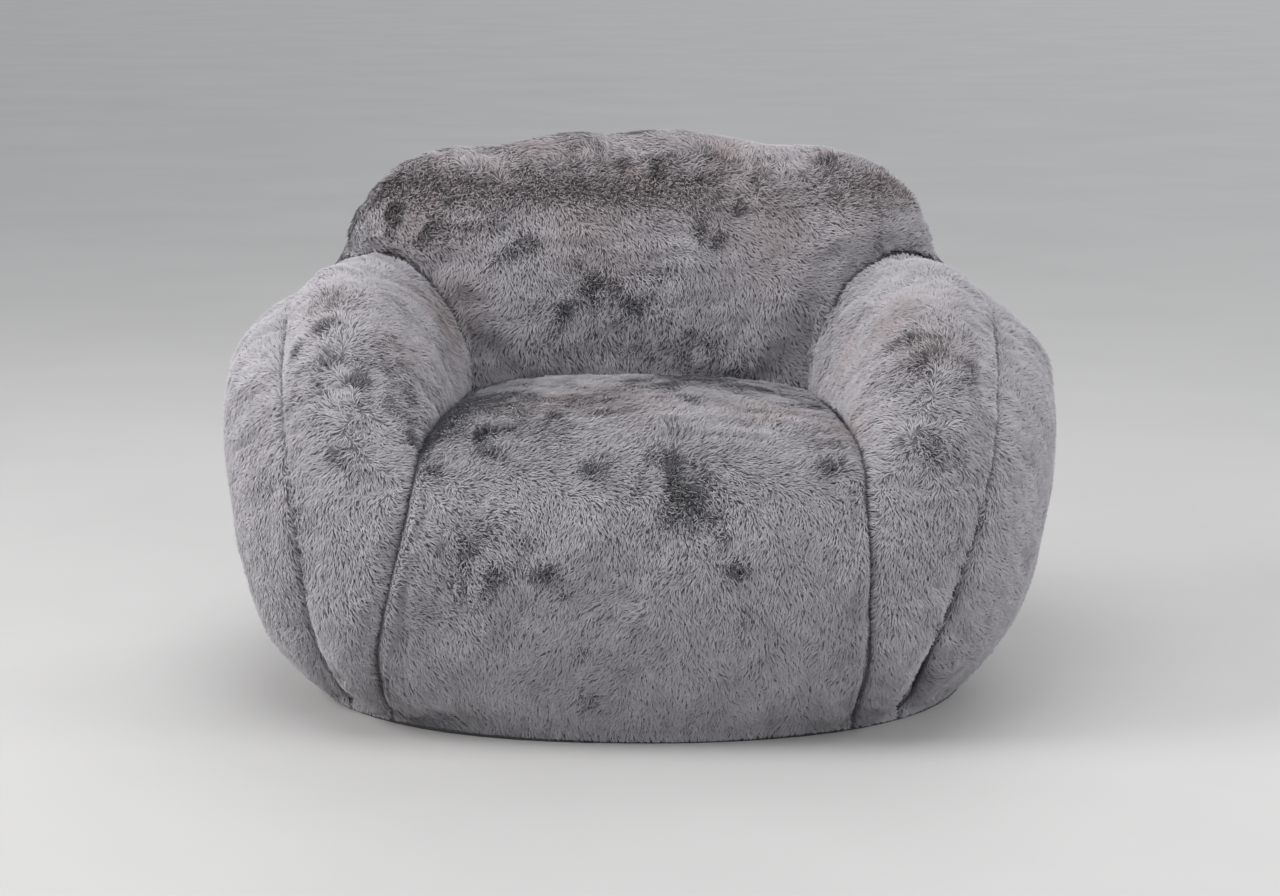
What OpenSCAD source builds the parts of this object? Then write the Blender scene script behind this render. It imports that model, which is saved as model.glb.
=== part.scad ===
// Bean bag lounge chair: a sewn fur cover over four foam-filled inner bags, closed by a rear zip.
// +X is the sitter's left, -Y the front, +Z up. The origin is on the floor under the middle of the chair.

/* [Body] */
// Overall width across the arms
body_w = 1170; // [1000:5:1400]
// Overall depth, front bulge to rear bulge
body_d = 970; // [820:5:1160]
// Height of the back's crest above the floor
body_h = 745; // [640:5:890]
// Width of the flat base at its widest
base_w = 920; // [780:5:960]
// Depth of the flat base
base_d = 850; // [720:5:870]

/* [Seat] */
// Height of the seat's crown above the floor
seat_h = 425; // [370:5:480]
// Width between the arm seams at the front
seat_w = 600; // [500:5:660]
// Width between the arms at the backrest
seat_rear_w = 476; // [400:5:520]
// Depth of the seat from the front bulge to the backrest
seat_depth = 585; // [500:5:640]

/* [Arms] */
// Height of the arms above the floor
arm_h = 562; // [480:5:630]
// Distance from the chair's middle to the arm's outer seam
arm_seam_x = 492; // [450:2:510]

/* [Back] */
// Half width of the back where it meets the arms
back_half_w = 442; // [400:2:480]
// Half width of the back's top before its shoulders fall
back_top_half_w = 295; // [240:5:340]
// Angle by which the partitions behind the arms run back
wing_angle = 26; // [18:1:32]

/* [Cover] */
// Thickness of the fur fabric, backing to fibre tips
fur_t = 12; // [8:1:16]
// Thickness of the base fabric
base_t = 3; // [2:0.5:5]
// Thickness of the strip that carries the zip
facing_t = 2; // [1:0.5:3]
// Thickness of the partition fabric between the bags
baffle_t = 1.2; // [0.8:0.1:2]

/* [Zip] */
// Length of the zip chain
zip_l = 600; // [480:10:640]
// Height of the rear strip that carries the zip
band_h = 68; // [56:1:80]
// Width of each zip tape
tape_w = 15; // [12:1:18]
// Thickness of the zip tape
tape_t = 0.9; // [0.6:0.1:1.4]
// Distance from tooth to tooth along one side
tooth_pitch = 4; // [3:0.5:6]
// How far the teeth stand off the tape
tooth_t = 2; // [1.4:0.1:2.6]
// Length of the slider along the chain
slider_l = 15; // [12:1:20]
// Radius of the pin that holds the pull
pin_r = 1; // [0.8:0.1:1.4]
// Length of the pull past its pin
pull_l = 34; // [24:1:40]
// Width of the pull
pull_w = 8; // [6:0.5:10]

/* [Label] */
// Width of the blank care label
label_w = 26; // [20:1:30]
// Length of the blank care label
label_l = 44; // [30:1:50]

/* [Inner bags] */
// Thickness of the inner bags' fabric
bag_t = 1.5; // [1:0.25:3]
// Gap between the cover and a bag
bag_gap = 2; // [1:0.25:4]
// Gap between a bag and the foam in it
fill_gap = 2.5; // [1:0.25:4]

/* [Hidden] */

fur_tone = [0.62, 0.60, 0.63];
lining_tone = [0.86, 0.85, 0.82];
half_w = body_w / 2;
half_d = body_d / 2;
half_base_w = base_w / 2;
half_base_d = base_d / 2;
hem_z = base_t;
// y of the crease where the seat meets the backrest
crease_y = seat_depth - half_d;
// exponents of the plan outline, front and rear, and of a panel's crown between its seams
front_round = 2.3;
rear_round = 2.4;
crown_power = 2.3;
// half of the straight run of the rear hem
zip_end_margin = 45;
flat_half = zip_l / 2 + zip_end_margin;
// numbers of steps along each panel
length_steps = 14;
seat_steps = 10;
arm_steps = 8;
side_steps = 8;
back_steps = 22;
rise_steps = 7;
fall_steps = 9;
// steps across the hidden straight faces of a bag
wall_steps = 3;
// difference used for slopes
tiny = 0.002;

// ---- curves ----
function lerp(a, b, t) = a + (b - a) * t;
function unit(v) = v / norm(v);
function knot(p, i) = p[max(0, min(len(p) - 1, i))];
function cubic(a, b, c, d, t) =
    0.5 * (2 * b + (c - a) * t + (2 * a - 5 * b + 4 * c - d) * t * t + (3 * b - a - 3 * c + d) * t * t * t);
// smooth curve through a list of points, t from 0 to 1
function along(p, t) =
    let (u = t * (len(p) - 1), i = max(0, min(floor(u), len(p) - 2)))
    cubic(knot(p, i - 1), knot(p, i), knot(p, i + 1), knot(p, i + 2), u - i);
// how far a panel has risen from seam (0 or 1) to crown (0.5)
function crown(s) = 1 - pow(abs(2 * s - 1), crown_power);
// a panel's cross-section: from seam a over the crown c to seam b
function arch(a, c, b, s) = lerp(a, b, s) + (c - (a + b) / 2) * crown(s);
function steps(n, from = 0, to = 1) = [for (i = [0:n]) lerp(from, to, i / n)];
function flip_x(p) = [-p[0], p[1], p[2]];
function both_sides(half) = concat([for (i = [len(half) - 1:-1:1]) flip_x(half[i])], half);

// ---- outline of the base ----
function front_y(x) = -half_base_d * pow(1 - pow(abs(x) / half_base_w, front_round), 1 / front_round);
// point of the outline at an angle: -90 front, 0 side, 90 rear; inset moves it inwards
function hem(angle, inset = 0) =
    let (c = cos(angle), s = sin(abs(angle)), corner_w = half_base_w - flat_half - inset)
    angle < 0
    ? [(half_base_w - inset) * pow(c, 2 / front_round), -(half_base_d - inset) * pow(s, 2 / front_round)]
    : [flat_half + corner_w * pow(c, 2 / rear_round), (half_base_d - inset) * pow(s, 2 / rear_round)];
function at_z(p, z) = [p[0], p[1], z];

// ---- partition planes, all upright ----
function seat_plane_x(y) = lerp(seat_rear_w, seat_w, (crease_y - y) / seat_depth) / 2;
function wing_y(x) = crease_y + (x - seat_rear_w / 2) * tan(wing_angle);
function on_seat_plane(y, z) = [seat_plane_x(y), y, z];
function on_wing(x, z) = [x, wing_y(x), z];
seat_plane_slope = (seat_w - seat_rear_w) / 2 / seat_depth;
seat_plane_normal = unit([1, seat_plane_slope, 0]);
wing_normal = [sin(wing_angle), -cos(wing_angle), 0];
rear_corner = [seat_rear_w / 2, crease_y, 0];
// hem point below the seam between seat and arm
function settle(x, n) = n == 0 ? x : settle(seat_plane_x(front_y(x)), n - 1);
seat_hem_x = settle(seat_w / 2, 6);
seat_hem = [seat_hem_x, front_y(seat_hem_x), hem_z];
// hem point below the arm's outer seam
outer_hem_share = 0.75;
outer_hem_x = arm_seam_x * outer_hem_share;
outer_hem = [outer_hem_x, front_y(outer_hem_x), hem_z];
outer_hem_angle = -acos(pow(outer_hem_x / half_base_w, front_round / 2));
// angle at which the outline crosses the wing plane
function wing_hem(low, high, n) =
    let (mid = (low + high) / 2, p = hem(mid))
    n == 0 ? mid : p[1] < wing_y(p[0]) ? wing_hem(mid, high, n - 1) : wing_hem(low, mid, n - 1);
wing_hem_angle = wing_hem(0, 89, 24);

// ---- seams and crowns: each list runs from the front hem, over the top, to the back ----
function seat_y(share) = seat_depth * share - half_d;
seat_seam = concat([seat_hem], [for (p = [[0.065, 0.26], [0.035, 0.5], [0.09, 0.745], [0.235, 0.89],
                                          [0.5, 0.925], [0.76, 0.92], [1, 0.905]])
                                on_seat_plane(seat_y(p[0]), p[1] * seat_h)]);
seat_crown = concat([[0, -half_base_d, hem_z]],
                    [for (p = [[0.03, 0.23], [0, 0.48], [0.04, 0.745], [0.19, 0.945],
                               [0.5, 1], [0.76, 0.985], [1, 0.935]])
                     [0, seat_y(p[0]), p[1] * seat_h]]);
function seat_at(t, s) =
    let (seam = along(seat_seam, t))
    arch(flip_x(seam), along(seat_crown, t), seam, s);

arm_crown_hem_x = (seat_hem_x + outer_hem_x) / 2;
arm_crown = concat([[arm_crown_hem_x, front_y(arm_crown_hem_x), hem_z]],
                   [for (p = [[0.736, -0.876, 0.196], [0.776, -0.89, 0.383], [0.789, -0.835, 0.587],
                              [0.78, -0.67, 0.785], [0.768, -0.381, 0.935], [0.756, -0.031, 1]])
                    [p[0] * arm_seam_x, p[1] * half_d, p[2] * arm_h]],
                   [on_wing(0.646 * arm_seam_x, 0.975 * arm_h)]);
shoulder = on_wing(back_half_w, 0.982 * arm_h);
outer_seam = concat([outer_hem],
                    [for (p = [[0.837, -0.711, 0.231], [0.894, -0.753, 0.418], [0.941, -0.691, 0.596],
                               [0.976, -0.515, 0.756], [1, -0.237, 0.868], [0.992, 0.062, 0.934]])
                     [p[0] * arm_seam_x, p[1] * half_d, p[2] * arm_h]],
                    [shoulder]);
function arm_at(t, s) = arch(along(seat_seam, t), along(arm_crown, t), along(outer_seam, t), s);

side_rear_crown = on_wing(0.957 * half_w, 0.58 * arm_h);
side_crown = concat([outer_hem],
                    [for (p = [[0.761, -0.619, 0.133], [0.863, -0.54, 0.24], [0.937, -0.381, 0.365],
                               [0.983, -0.196, 0.51], [1, 0, 0.6], [0.993, 0.247, 0.62]])
                     [p[0] * half_w, p[1] * half_d, p[2] * arm_h]],
                    [side_rear_crown]);
function side_hem(t) = at_z(hem(lerp(outer_hem_angle, wing_hem_angle, t)), hem_z);
function side_at(t, r) = arch(along(outer_seam, t), along(side_crown, t), side_hem(t), r);

// ---- the back; u runs from -1 on the sitter's right to 1 on the left ----
// crease under the backrest panel: the seat's rear edge, then the arm's
function crease(u) =
    let (a = abs(u), p = a < 0.5 ? seat_at(1, 0.5 + a) : arm_at(1, 2 * a - 1))
    u < 0 ? flip_x(p) : p;
// the top seam lies behind the crest and comes forward over the shoulders
top_y = 0.75 * half_d;
top_z = 0.925 * body_h;
top_seam = both_sides([[0, top_y, top_z], [0.37 * back_top_half_w, top_y, 0.996 * top_z],
                       [0.71 * back_top_half_w, top_y - 8, 0.98 * top_z],
                       [1.05 * back_top_half_w, top_y - 45, lerp(shoulder[2], top_z, 0.94)],
                       [lerp(back_top_half_w, back_half_w, 0.72), lerp(shoulder[1], top_y, 0.35),
                        lerp(shoulder[2], top_z, 0.62)],
                       shoulder]);
rise = 0.946 * body_h;
rest_y = crease_y + 78;
rest_crown = both_sides([[0, rest_y, rise], [0.38 * back_top_half_w, rest_y, 0.996 * rise],
                         [0.72 * back_top_half_w, rest_y, 0.98 * rise],
                         [1.09 * back_top_half_w, rest_y, lerp(shoulder[2], rise, 0.86)],
                         [0.9 * back_half_w, rest_y + 8, lerp(shoulder[2], rise, 0.56)],
                         shoulder]);
back_z = 0.48 * body_h;
// the crown's middle lies a little inside the furthest point, which falls below it
bulge_y = half_d - 4;
back_crown = both_sides([[0, bulge_y, back_z], [0.2 * half_w, bulge_y, back_z], [0.4 * half_w, 0.99 * bulge_y, back_z],
                         [0.59 * half_w, 0.955 * bulge_y, back_z],
                         [0.79 * half_w, 0.835 * bulge_y, lerp(side_rear_crown[2], back_z, 0.6)],
                         side_rear_crown]);
// rear hem: straight for the zip's length, then round the corner to the wing seam
straight_share = 0.7;
function rear_hem(u, inset = 0) =
    let (a = abs(u), side = u < 0 ? -1 : 1,
         p = a < straight_share
             ? [flat_half * a / straight_share, half_base_d - inset]
             : hem(lerp(90, wing_hem_angle, (a - straight_share) / (1 - straight_share)), inset))
    [side * p[0], p[1]];
// the strip's height fades out at the wing seams
function strip_z(u) =
    let (f = min(1, (1 - abs(u)) / (1 - straight_share - 0.05)))
    lerp(hem_z, band_h, f * f * (3 - 2 * f));
function along_back(p, u) = along(p, (u + 1) / 2);
function rest_at(u, v) = arch(crease(u), along_back(rest_crown, u), along_back(top_seam, u), v);
function back_at(u, v) = arch(along_back(top_seam, u), along_back(back_crown, u), at_z(rear_hem(u), strip_z(u)), v);

// ---- offset grids ----
seat_grid = function (t, s) seat_at(t, s);
arm_grid = function (t, s) arm_at(t, s);
side_grid = function (t, s) side_at(t, s);
rest_grid = function (t, s) rest_at(t, s);
back_grid = function (t, s) back_at(t, s);
function slope_t(f, t, s) = f(min(1, t + tiny), s) - f(t > 1 - tiny ? t - tiny : t, s);
function slope_s(f, t, s) = f(t, min(1, s + tiny)) - f(t, s > 1 - tiny ? s - tiny : s);
// point of a surface moved by a depth along its inward normal
function below(f, t, s, depth, turn) = f(t, s) - turn * depth * unit(cross(slope_t(f, t, s), slope_s(f, t, s)));
function sheet(f, ts, ss, depth, turn) = [for (t = ts) [for (s = ss) below(f, t, s, depth, turn)]];
// the fur is thin along a seam, where it is drawn in, and full a little way from it
seam_share = 0.12;
seam_t = 0.8;
function edge_share(x) = min(1, min(x, 1 - x) / seam_share);
function fur_depth(t, s) = lerp(seam_t, fur_t, min(edge_share(t), edge_share(s)));
function flat(rows) = [for (row = rows) for (p = row) p];
function quad(a, b, c, d, turned) = turned ? [[a, b, c], [a, c, d]] : [[a, c, b], [a, d, c]];
function pairs(lists) = [for (list = lists) for (item = list) item];

// a closed fabric piece between two grids of the same size
module shell(outer, inner, turned) {
    n = len(outer);
    m = len(outer[0]);
    k = n * m;
    polyhedron(
        points = concat(flat(outer), flat(inner)),
        faces = pairs(concat(
            [for (i = [0:n - 2], j = [0:m - 2])
                quad(i * m + j, i * m + j + 1, (i + 1) * m + j + 1, (i + 1) * m + j, turned)],
            [for (i = [0:n - 2], j = [0:m - 2])
                quad(k + i * m + j, k + i * m + j + 1, k + (i + 1) * m + j + 1, k + (i + 1) * m + j, !turned)],
            [for (j = [0:m - 2]) quad(j, j + 1, k + j + 1, k + j, !turned)],
            [for (j = [0:m - 2]) quad((n - 1) * m + j, (n - 1) * m + j + 1, k + (n - 1) * m + j + 1,
                                      k + (n - 1) * m + j, turned)],
            [for (i = [0:n - 2]) quad(i * m, (i + 1) * m, k + (i + 1) * m, k + i * m, turned)],
            [for (i = [0:n - 2]) quad(i * m + m - 1, (i + 1) * m + m - 1, k + (i + 1) * m + m - 1,
                                      k + i * m + m - 1, !turned)])));
}
// t_low is the value of t at the panel's first end
module fur_piece(f, ts, ss, turn, t_low = 0) {
    color(fur_tone)
        shell(sheet(f, ts, ss, 0, turn),
              [for (t = ts) [for (s = ss) below(f, t, s, fur_depth((t - t_low) / (1 - t_low), s), turn)]],
              turn > 0);
}

// ---- sections of the four bags; a section is a closed ring of points ----
// the bag's distances for a given depth below the cover's inner face
function wall_gap(depth) = baffle_t / 2 + bag_gap + depth;
function lift(p, gap) = [p[0], p[1], max(p[2], hem_z + gap)];
function floored(p, gap) = [p[0], p[1], hem_z + gap];
function inside_plane(p, origin, normal, gap) =
    p + normal * max(0, gap - (p - origin) * normal);
function wall(a, b) = [for (k = [1:wall_steps - 1]) lerp(a, b, k / wall_steps)];
function ring(skin, corner) =
    let (last = skin[len(skin) - 1])
    concat(skin, wall(last, corner), [corner], wall(corner, skin[0]));

function seat_limit(p, gap) =
    let (x = min(abs(p[0]), seat_plane_x(p[1]) - gap / seat_plane_normal[0]),
         q = [p[0] < 0 ? -x : x, min(p[1], crease_y - gap), p[2]])
    lift(q, gap);
function seat_ring(s, depth) =
    let (gap = wall_gap(depth),
         skin = [for (t = steps(length_steps)) seat_limit(below(seat_grid, t, s, fur_t + bag_gap + depth, -1), gap)],
         back = (2 * s - 1) * (seat_plane_x(crease_y - gap) - gap / seat_plane_normal[0]))
    ring(concat([floored(skin[0], gap)], [for (i = [1:length_steps]) skin[i]]),
         [back, crease_y - gap, hem_z + gap]);
function seat_rings(depth) = [for (s = steps(seat_steps)) seat_ring(s, depth)];

function arm_limit(p, gap) =
    let (q = inside_plane(p, rear_corner, seat_plane_normal, gap))
    lift(inside_plane(q, rear_corner, wing_normal, gap), gap);
function arm_rings(depth) =
    let (gap = wall_gap(depth), d = fur_t + bag_gap + depth,
         side_end = arm_limit(at_z(hem(wing_hem_angle, d), hem_z), gap),
         inner_end = arm_limit(at_z(rear_corner, hem_z), gap),
         turn_share = 0.8)
    concat(
        [for (s = steps(arm_steps))
            let (skin = [for (t = steps(length_steps)) arm_limit(below(arm_grid, t, s, d, -1), gap)])
            ring(concat([floored(skin[0], gap)], [for (i = [1:length_steps]) skin[i]]),
                 floored(lerp(inner_end, side_end, turn_share * s), gap))],
        [for (r = steps(side_steps))
            let (toe = lerp(0.02, 0.05, r),
                 skin = [for (t = steps(length_steps))
                            arm_limit(t == 0 ? below(side_grid, toe, 1, d, -1) : below(side_grid, t, r, d, -1), gap)])
            ring(concat([floored(skin[0], gap)],
                        [for (i = [1:length_steps]) r == 1 ? floored(skin[i], gap) : skin[i]]),
                 floored(lerp(inner_end, side_end, lerp(turn_share + 0.04, 1, r)), gap))]);

function back_limit(p, gap) =
    let (q = inside_plane([abs(p[0]), max(p[1], crease_y + gap), p[2]], rear_corner, -wing_normal, gap),
         r = lift(q, gap))
    p[0] < 0 ? flip_x(r) : r;
// the outermost section of the back's bag is one step in from the wing seam
back_reach = 1 - 2 / back_steps;
function back_ring(u, depth) =
    let (gap = wall_gap(depth), d = fur_t + bag_gap + depth, a = abs(u),
         foot = a < 0.5 ? [crease(a)[0], crease_y, hem_z]
                        : lerp(at_z(rear_corner, hem_z), at_z(hem(wing_hem_angle, d), hem_z), 2 * a - 1),
         corner = floored(back_limit(u < 0 ? flip_x(foot) : foot, gap), gap),
         heel = floored(back_limit(at_z(rear_hem(u, d), hem_z), gap), gap))
    ring(concat([for (i = [0:rise_steps - 1]) back_limit(below(rest_grid, u, i / rise_steps, d, 1), gap)],
                [for (v = steps(fall_steps)) back_limit(below(back_grid, u, v, d, 1), gap)],
                [heel]),
         corner);
function back_rings(depth) = [for (u = steps(back_steps - 2, -back_reach, back_reach)) back_ring(u, depth)];

// ---- closed solids through sections ----
function middle(ring) = [for (k = [0:2]) let (v = [for (p = ring) p[k]]) (max(v) + min(v)) / 2];
function in_mouth(i, j, mouth) = i >= mouth[0] && i < mouth[1] && j >= mouth[2] && j < mouth[3];
function tube_faces(n, m, first, turned, mouth) = pairs(
    [for (i = [0:n - 2], j = [0:m - 1])
        let (a = first + i * m + j, b = first + i * m + (j + 1) % m)
        if (!in_mouth(i, j, mouth)) quad(a, b, b + m, a + m, turned)]);
function end_faces(m, first, hub, turned) =
    [for (j = [0:m - 1])
        let (a = first + j, b = first + (j + 1) % m)
        turned ? [hub, b, a] : [hub, a, b]];
function closed_faces(n, m, first, turned, mouth) =
    let (hub = first + n * m)
    concat(tube_faces(n, m, first, turned, mouth),
           end_faces(m, first, hub, turned),
           end_faces(m, first + (n - 1) * m, hub + 1, !turned));
function closed_points(rings) = concat(flat(rings), [middle(rings[0]), middle(rings[len(rings) - 1])]);
no_mouth = [0, 0, 0, 0];
module solid_through(rings) {
    polyhedron(points = closed_points(rings), faces = closed_faces(len(rings), len(rings[0]), 0, true, no_mouth));
}
// a thin bag with one open slit, between an outer and an inner set of sections
module bag_between(outer, inner, mouth) {
    n = len(outer);
    m = len(outer[0]);
    k = n * m + 2;
    polyhedron(
        points = concat(closed_points(outer), closed_points(inner)),
        faces = concat(
            closed_faces(n, m, 0, true, mouth),
            closed_faces(n, m, k, false, mouth),
            pairs([for (i = [mouth[0]:mouth[1] - 1])
                quad(i * m + mouth[2], (i + 1) * m + mouth[2], k + (i + 1) * m + mouth[2], k + i * m + mouth[2], false)]),
            pairs([for (i = [mouth[0]:mouth[1] - 1])
                quad(i * m + mouth[3], (i + 1) * m + mouth[3], k + (i + 1) * m + mouth[3], k + i * m + mouth[3], true)]),
            pairs([for (j = [mouth[2]:mouth[3] - 1])
                quad(mouth[0] * m + j, mouth[0] * m + j + 1, k + mouth[0] * m + j + 1, k + mouth[0] * m + j, true)]),
            pairs([for (j = [mouth[2]:mouth[3] - 1])
                quad(mouth[1] * m + j, mouth[1] * m + j + 1, k + mouth[1] * m + j + 1, k + mouth[1] * m + j, false)])));
}
function window(rings, mouth) = [for (i = [mouth[0]:mouth[1]]) [for (j = [mouth[2]:mouth[3]]) rings[i][j]]];
module closure(outer, inner, mouth) {
    color(lining_tone) shell(window(outer, mouth), window(inner, mouth), true);
}
bag_depth = bag_t;
fill_depth = bag_t + fill_gap;
// slits: first and last section, first and last point of the ring
panel_wall = length_steps + 1;
seat_mouth = [3, 7, panel_wall, panel_wall + 1];
arm_mouth = [3, 6, panel_wall, panel_wall + 1];
back_wall = rise_steps + fall_steps + wall_steps + 2;
back_mouth = [8, 12, back_wall, back_wall + 1];

// ---- cover ----
// each panel stops a little short of its seam lines
end_trim = 0.02;
seam_trim = 0.005;
function trimmed(n, from = 0, to = 1) = steps(n, from + seam_trim, to - seam_trim);
module seat_panel() fur_piece(seat_grid, trimmed(length_steps), trimmed(seat_steps), -1);
module backrest_panel()
    fur_piece(rest_grid, steps(back_steps, end_trim - 1, 1 - end_trim), trimmed(rise_steps), 1, -1);
module back_panel() fur_piece(back_grid, trimmed(back_steps, -1, 1), trimmed(fall_steps), 1, -1);
module arm_panel() fur_piece(arm_grid, trimmed(length_steps), trimmed(arm_steps), -1);
module side_panel() fur_piece(side_grid, trimmed(length_steps, end_trim, 1), trimmed(side_steps), -1);
module arm_panel_left() arm_panel();
module arm_panel_right() mirror([1, 0, 0]) arm_panel();
module side_panel_left() side_panel();
module side_panel_right() mirror([1, 0, 0]) side_panel();
outline_step = 6;
half_outline = [for (a = [-90:outline_step:90]) hem(a)];
module base_panel() {
    color([0.33, 0.32, 0.33])
        linear_extrude(base_t)
            polygon(concat([for (i = [0:len(half_outline) - 1]) half_outline[i]],
                           [for (i = [len(half_outline) - 1:-1:1]) [-half_outline[i][0], half_outline[i][1]]]));
}

// ---- partitions between the bags ----
// outline points drawn in towards the middle, clear of the cover's seams
baffle_inset = fur_t + 3;
function drawn_in(points) =
    let (c = [for (k = [0:1]) let (v = [for (p = points) p[k]]) (max(v) + min(v)) / 2])
    [for (p = points) p + unit(c - p) * baffle_inset];
module upright_plate(points) {
    color(lining_tone) rotate([90, 0, 0]) linear_extrude(baffle_t, center = true) polygon(points);
}
module seat_baffle() {
    stretch = norm([1, seat_plane_slope]);
    outline = concat([[0, hem_z]],
                     [for (t = steps(length_steps)) let (p = along(seat_seam, t)) [(crease_y - p[1]) * stretch, p[2]]]);
    translate(rear_corner) rotate(atan(seat_plane_slope) - 90) upright_plate(drawn_in(outline));
}
module seat_baffle_left() seat_baffle();
module seat_baffle_right() mirror([1, 0, 0]) seat_baffle();
module back_baffle() {
    outline = concat([[-seat_rear_w / 2, hem_z], [seat_rear_w / 2, hem_z]],
                     [for (s = steps(seat_steps, 1, 0)) let (p = seat_at(1, s)) [p[0], p[2]]]);
    translate([0, crease_y, 0]) upright_plate(drawn_in(outline));
}
module wing_baffle() {
    foot = hem(wing_hem_angle)[0];
    edge = concat([rear_corner, [foot, 0, hem_z]],
                  [for (r = steps(side_steps, 0.9, 0)) side_at(1, r)],
                  [for (s = steps(arm_steps, 0.9, 0)) arm_at(1, s)]);
    outline = [for (p = edge) [(p[0] - rear_corner[0]) / cos(wing_angle), max(p[2], hem_z)]];
    translate(rear_corner) rotate(wing_angle) upright_plate(drawn_in(outline));
}
module wing_baffle_left() wing_baffle();
module wing_baffle_right() mirror([1, 0, 0]) wing_baffle();

// ---- zip ----
module zip_facing() {
    us = steps(3 * back_steps, 3 * end_trim - 1, 1 - 3 * end_trim);
    color([0.45, 0.44, 0.46])
        shell([for (u = us) [at_z(rear_hem(u), hem_z), at_z(rear_hem(u), strip_z(u))]],
              [for (u = us) [at_z(rear_hem(u, facing_t), hem_z), at_z(rear_hem(u, facing_t), strip_z(u))]], false);
}
zip_z = (hem_z + band_h) / 2;
tape_y = half_base_d;
teeth_y = tape_y + tape_t;
plate_y = teeth_y + tooth_t + 0.4;
tape_gap = 0.5;
tape_overrun = 12;
tooth_tip = 1;
tooth_root = 1.3;
teeth_top = 2.8;
tooth_w = 0.42 * tooth_pitch;
slider_plate_t = 1.4;
slider_w = 9.6;
flange_w = 1.3;
run_gap = 0.4;
lug_l = 4.6;
lug_w = 1.4;
eye_w = 4.6;
eye_r = 2.2;
pin_gap = 0.05;
pull_t = 1.4;
pin_y = plate_y + slider_plate_t + 2.6;
stop_l = 4;
slider_x = -zip_l / 2 + slider_l / 2 + 1;
module tape() {
    color([0.2, 0.2, 0.21])
        translate([-zip_l / 2 - tape_overrun, tape_y, tape_gap])
            cube([zip_l + 2 * tape_overrun, tape_t, tape_w]);
}
// one row of teeth as a comb; shift moves it along the chain
module tooth_row(shift) {
    count = floor(zip_l / tooth_pitch) - 1;
    start = -count * tooth_pitch / 2 + shift;
    comb = [for (k = [0:count - 1])
        let (x = start + k * tooth_pitch)
        each [[x, tooth_root], [x, -tooth_tip], [x + tooth_w, -tooth_tip], [x + tooth_w, tooth_root]]];
    color([0.28, 0.28, 0.29])
        translate([0, teeth_y + tooth_t, 0]) rotate([90, 0, 0]) linear_extrude(tooth_t)
            polygon(concat(comb, [[start + count * tooth_pitch, tooth_root], [start + count * tooth_pitch, teeth_top],
                                  [start - tooth_w, teeth_top], [start - tooth_w, tooth_root]]));
}
module zip_tape_upper() translate([0, 0, zip_z]) tape();
module zip_tape_lower() translate([0, 0, zip_z]) mirror([0, 0, 1]) tape();
module zip_teeth_upper() translate([0, 0, zip_z]) tooth_row(0);
module zip_teeth_lower() translate([0, 0, zip_z]) mirror([0, 0, 1]) tooth_row(tooth_pitch / 2);
module zip_stop(side) {
    color([0.55, 0.55, 0.56])
        translate([side * (zip_l / 2 + stop_l) - stop_l / 2, teeth_y, zip_z - teeth_top])
            cube([stop_l, tooth_t, 2 * teeth_top]);
}
module zip_stop_left() zip_stop(1);
module zip_stop_right() zip_stop(-1);
module zip_slider() {
    color([0.62, 0.62, 0.63])
        translate([slider_x, 0, zip_z])
            difference() {
                union() {
                    translate([-slider_l / 2, plate_y, -slider_w / 2]) cube([slider_l, slider_plate_t, slider_w]);
                    for (z = [-slider_w / 2, slider_w / 2 - flange_w])
                        translate([-slider_l / 2, teeth_y + run_gap, z])
                            cube([slider_l, plate_y - teeth_y, flange_w]);
                    for (z = [-eye_w / 2 - run_gap - lug_w, eye_w / 2 + run_gap]) {
                        translate([-lug_l / 2, plate_y, z]) cube([lug_l, pin_y - plate_y, lug_w]);
                        translate([0, pin_y, z]) cylinder(r = lug_l / 2, h = lug_w, $fn = 32);
                    }
                }
                translate([0, pin_y, -slider_w]) cylinder(r = pin_r, h = 2 * slider_w, $fn = 32);
            }
}
module zip_pull_pin() {
    color([0.62, 0.62, 0.63])
        translate([slider_x, pin_y, zip_z - eye_w / 2 - run_gap - lug_w])
            cylinder(r = pin_r, h = eye_w + 2 * run_gap + 2 * lug_w, $fn = 32);
}
module zip_pull() {
    neck_l = lug_l / 2 + 1.5;
    color([0.66, 0.66, 0.67])
        translate([slider_x, pin_y, zip_z])
            difference() {
                union() {
                    translate([0, 0, -eye_w / 2]) cylinder(r = eye_r, h = eye_w, $fn = 32);
                    translate([0, -pull_t / 2, -eye_w / 2]) cube([neck_l + 2, pull_t, eye_w]);
                    translate([neck_l, -pull_t / 2, -pull_w / 2]) cube([pull_l - neck_l - pull_w / 2, pull_t, pull_w]);
                    translate([pull_l - pull_w / 2, pull_t / 2, 0]) rotate([90, 0, 0])
                        cylinder(r = pull_w / 2, h = pull_t, $fn = 48);
                }
                translate([0, 0, -pull_w]) cylinder(r = pin_r + pin_gap, h = 2 * pull_w, $fn = 32);
                translate([pull_l - pull_w / 2, pull_w, 0]) rotate([90, 0, 0])
                    cylinder(r = pull_w / 5, h = 2 * pull_w, $fn = 32);
            }
}
label_t = 0.5;
module care_label() {
    color([0.93, 0.93, 0.92])
        translate([zip_l / 2 + tape_overrun + 4, tape_y + 0.1, band_h - label_l])
            cube([label_w, label_t, label_l]);
}

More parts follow.
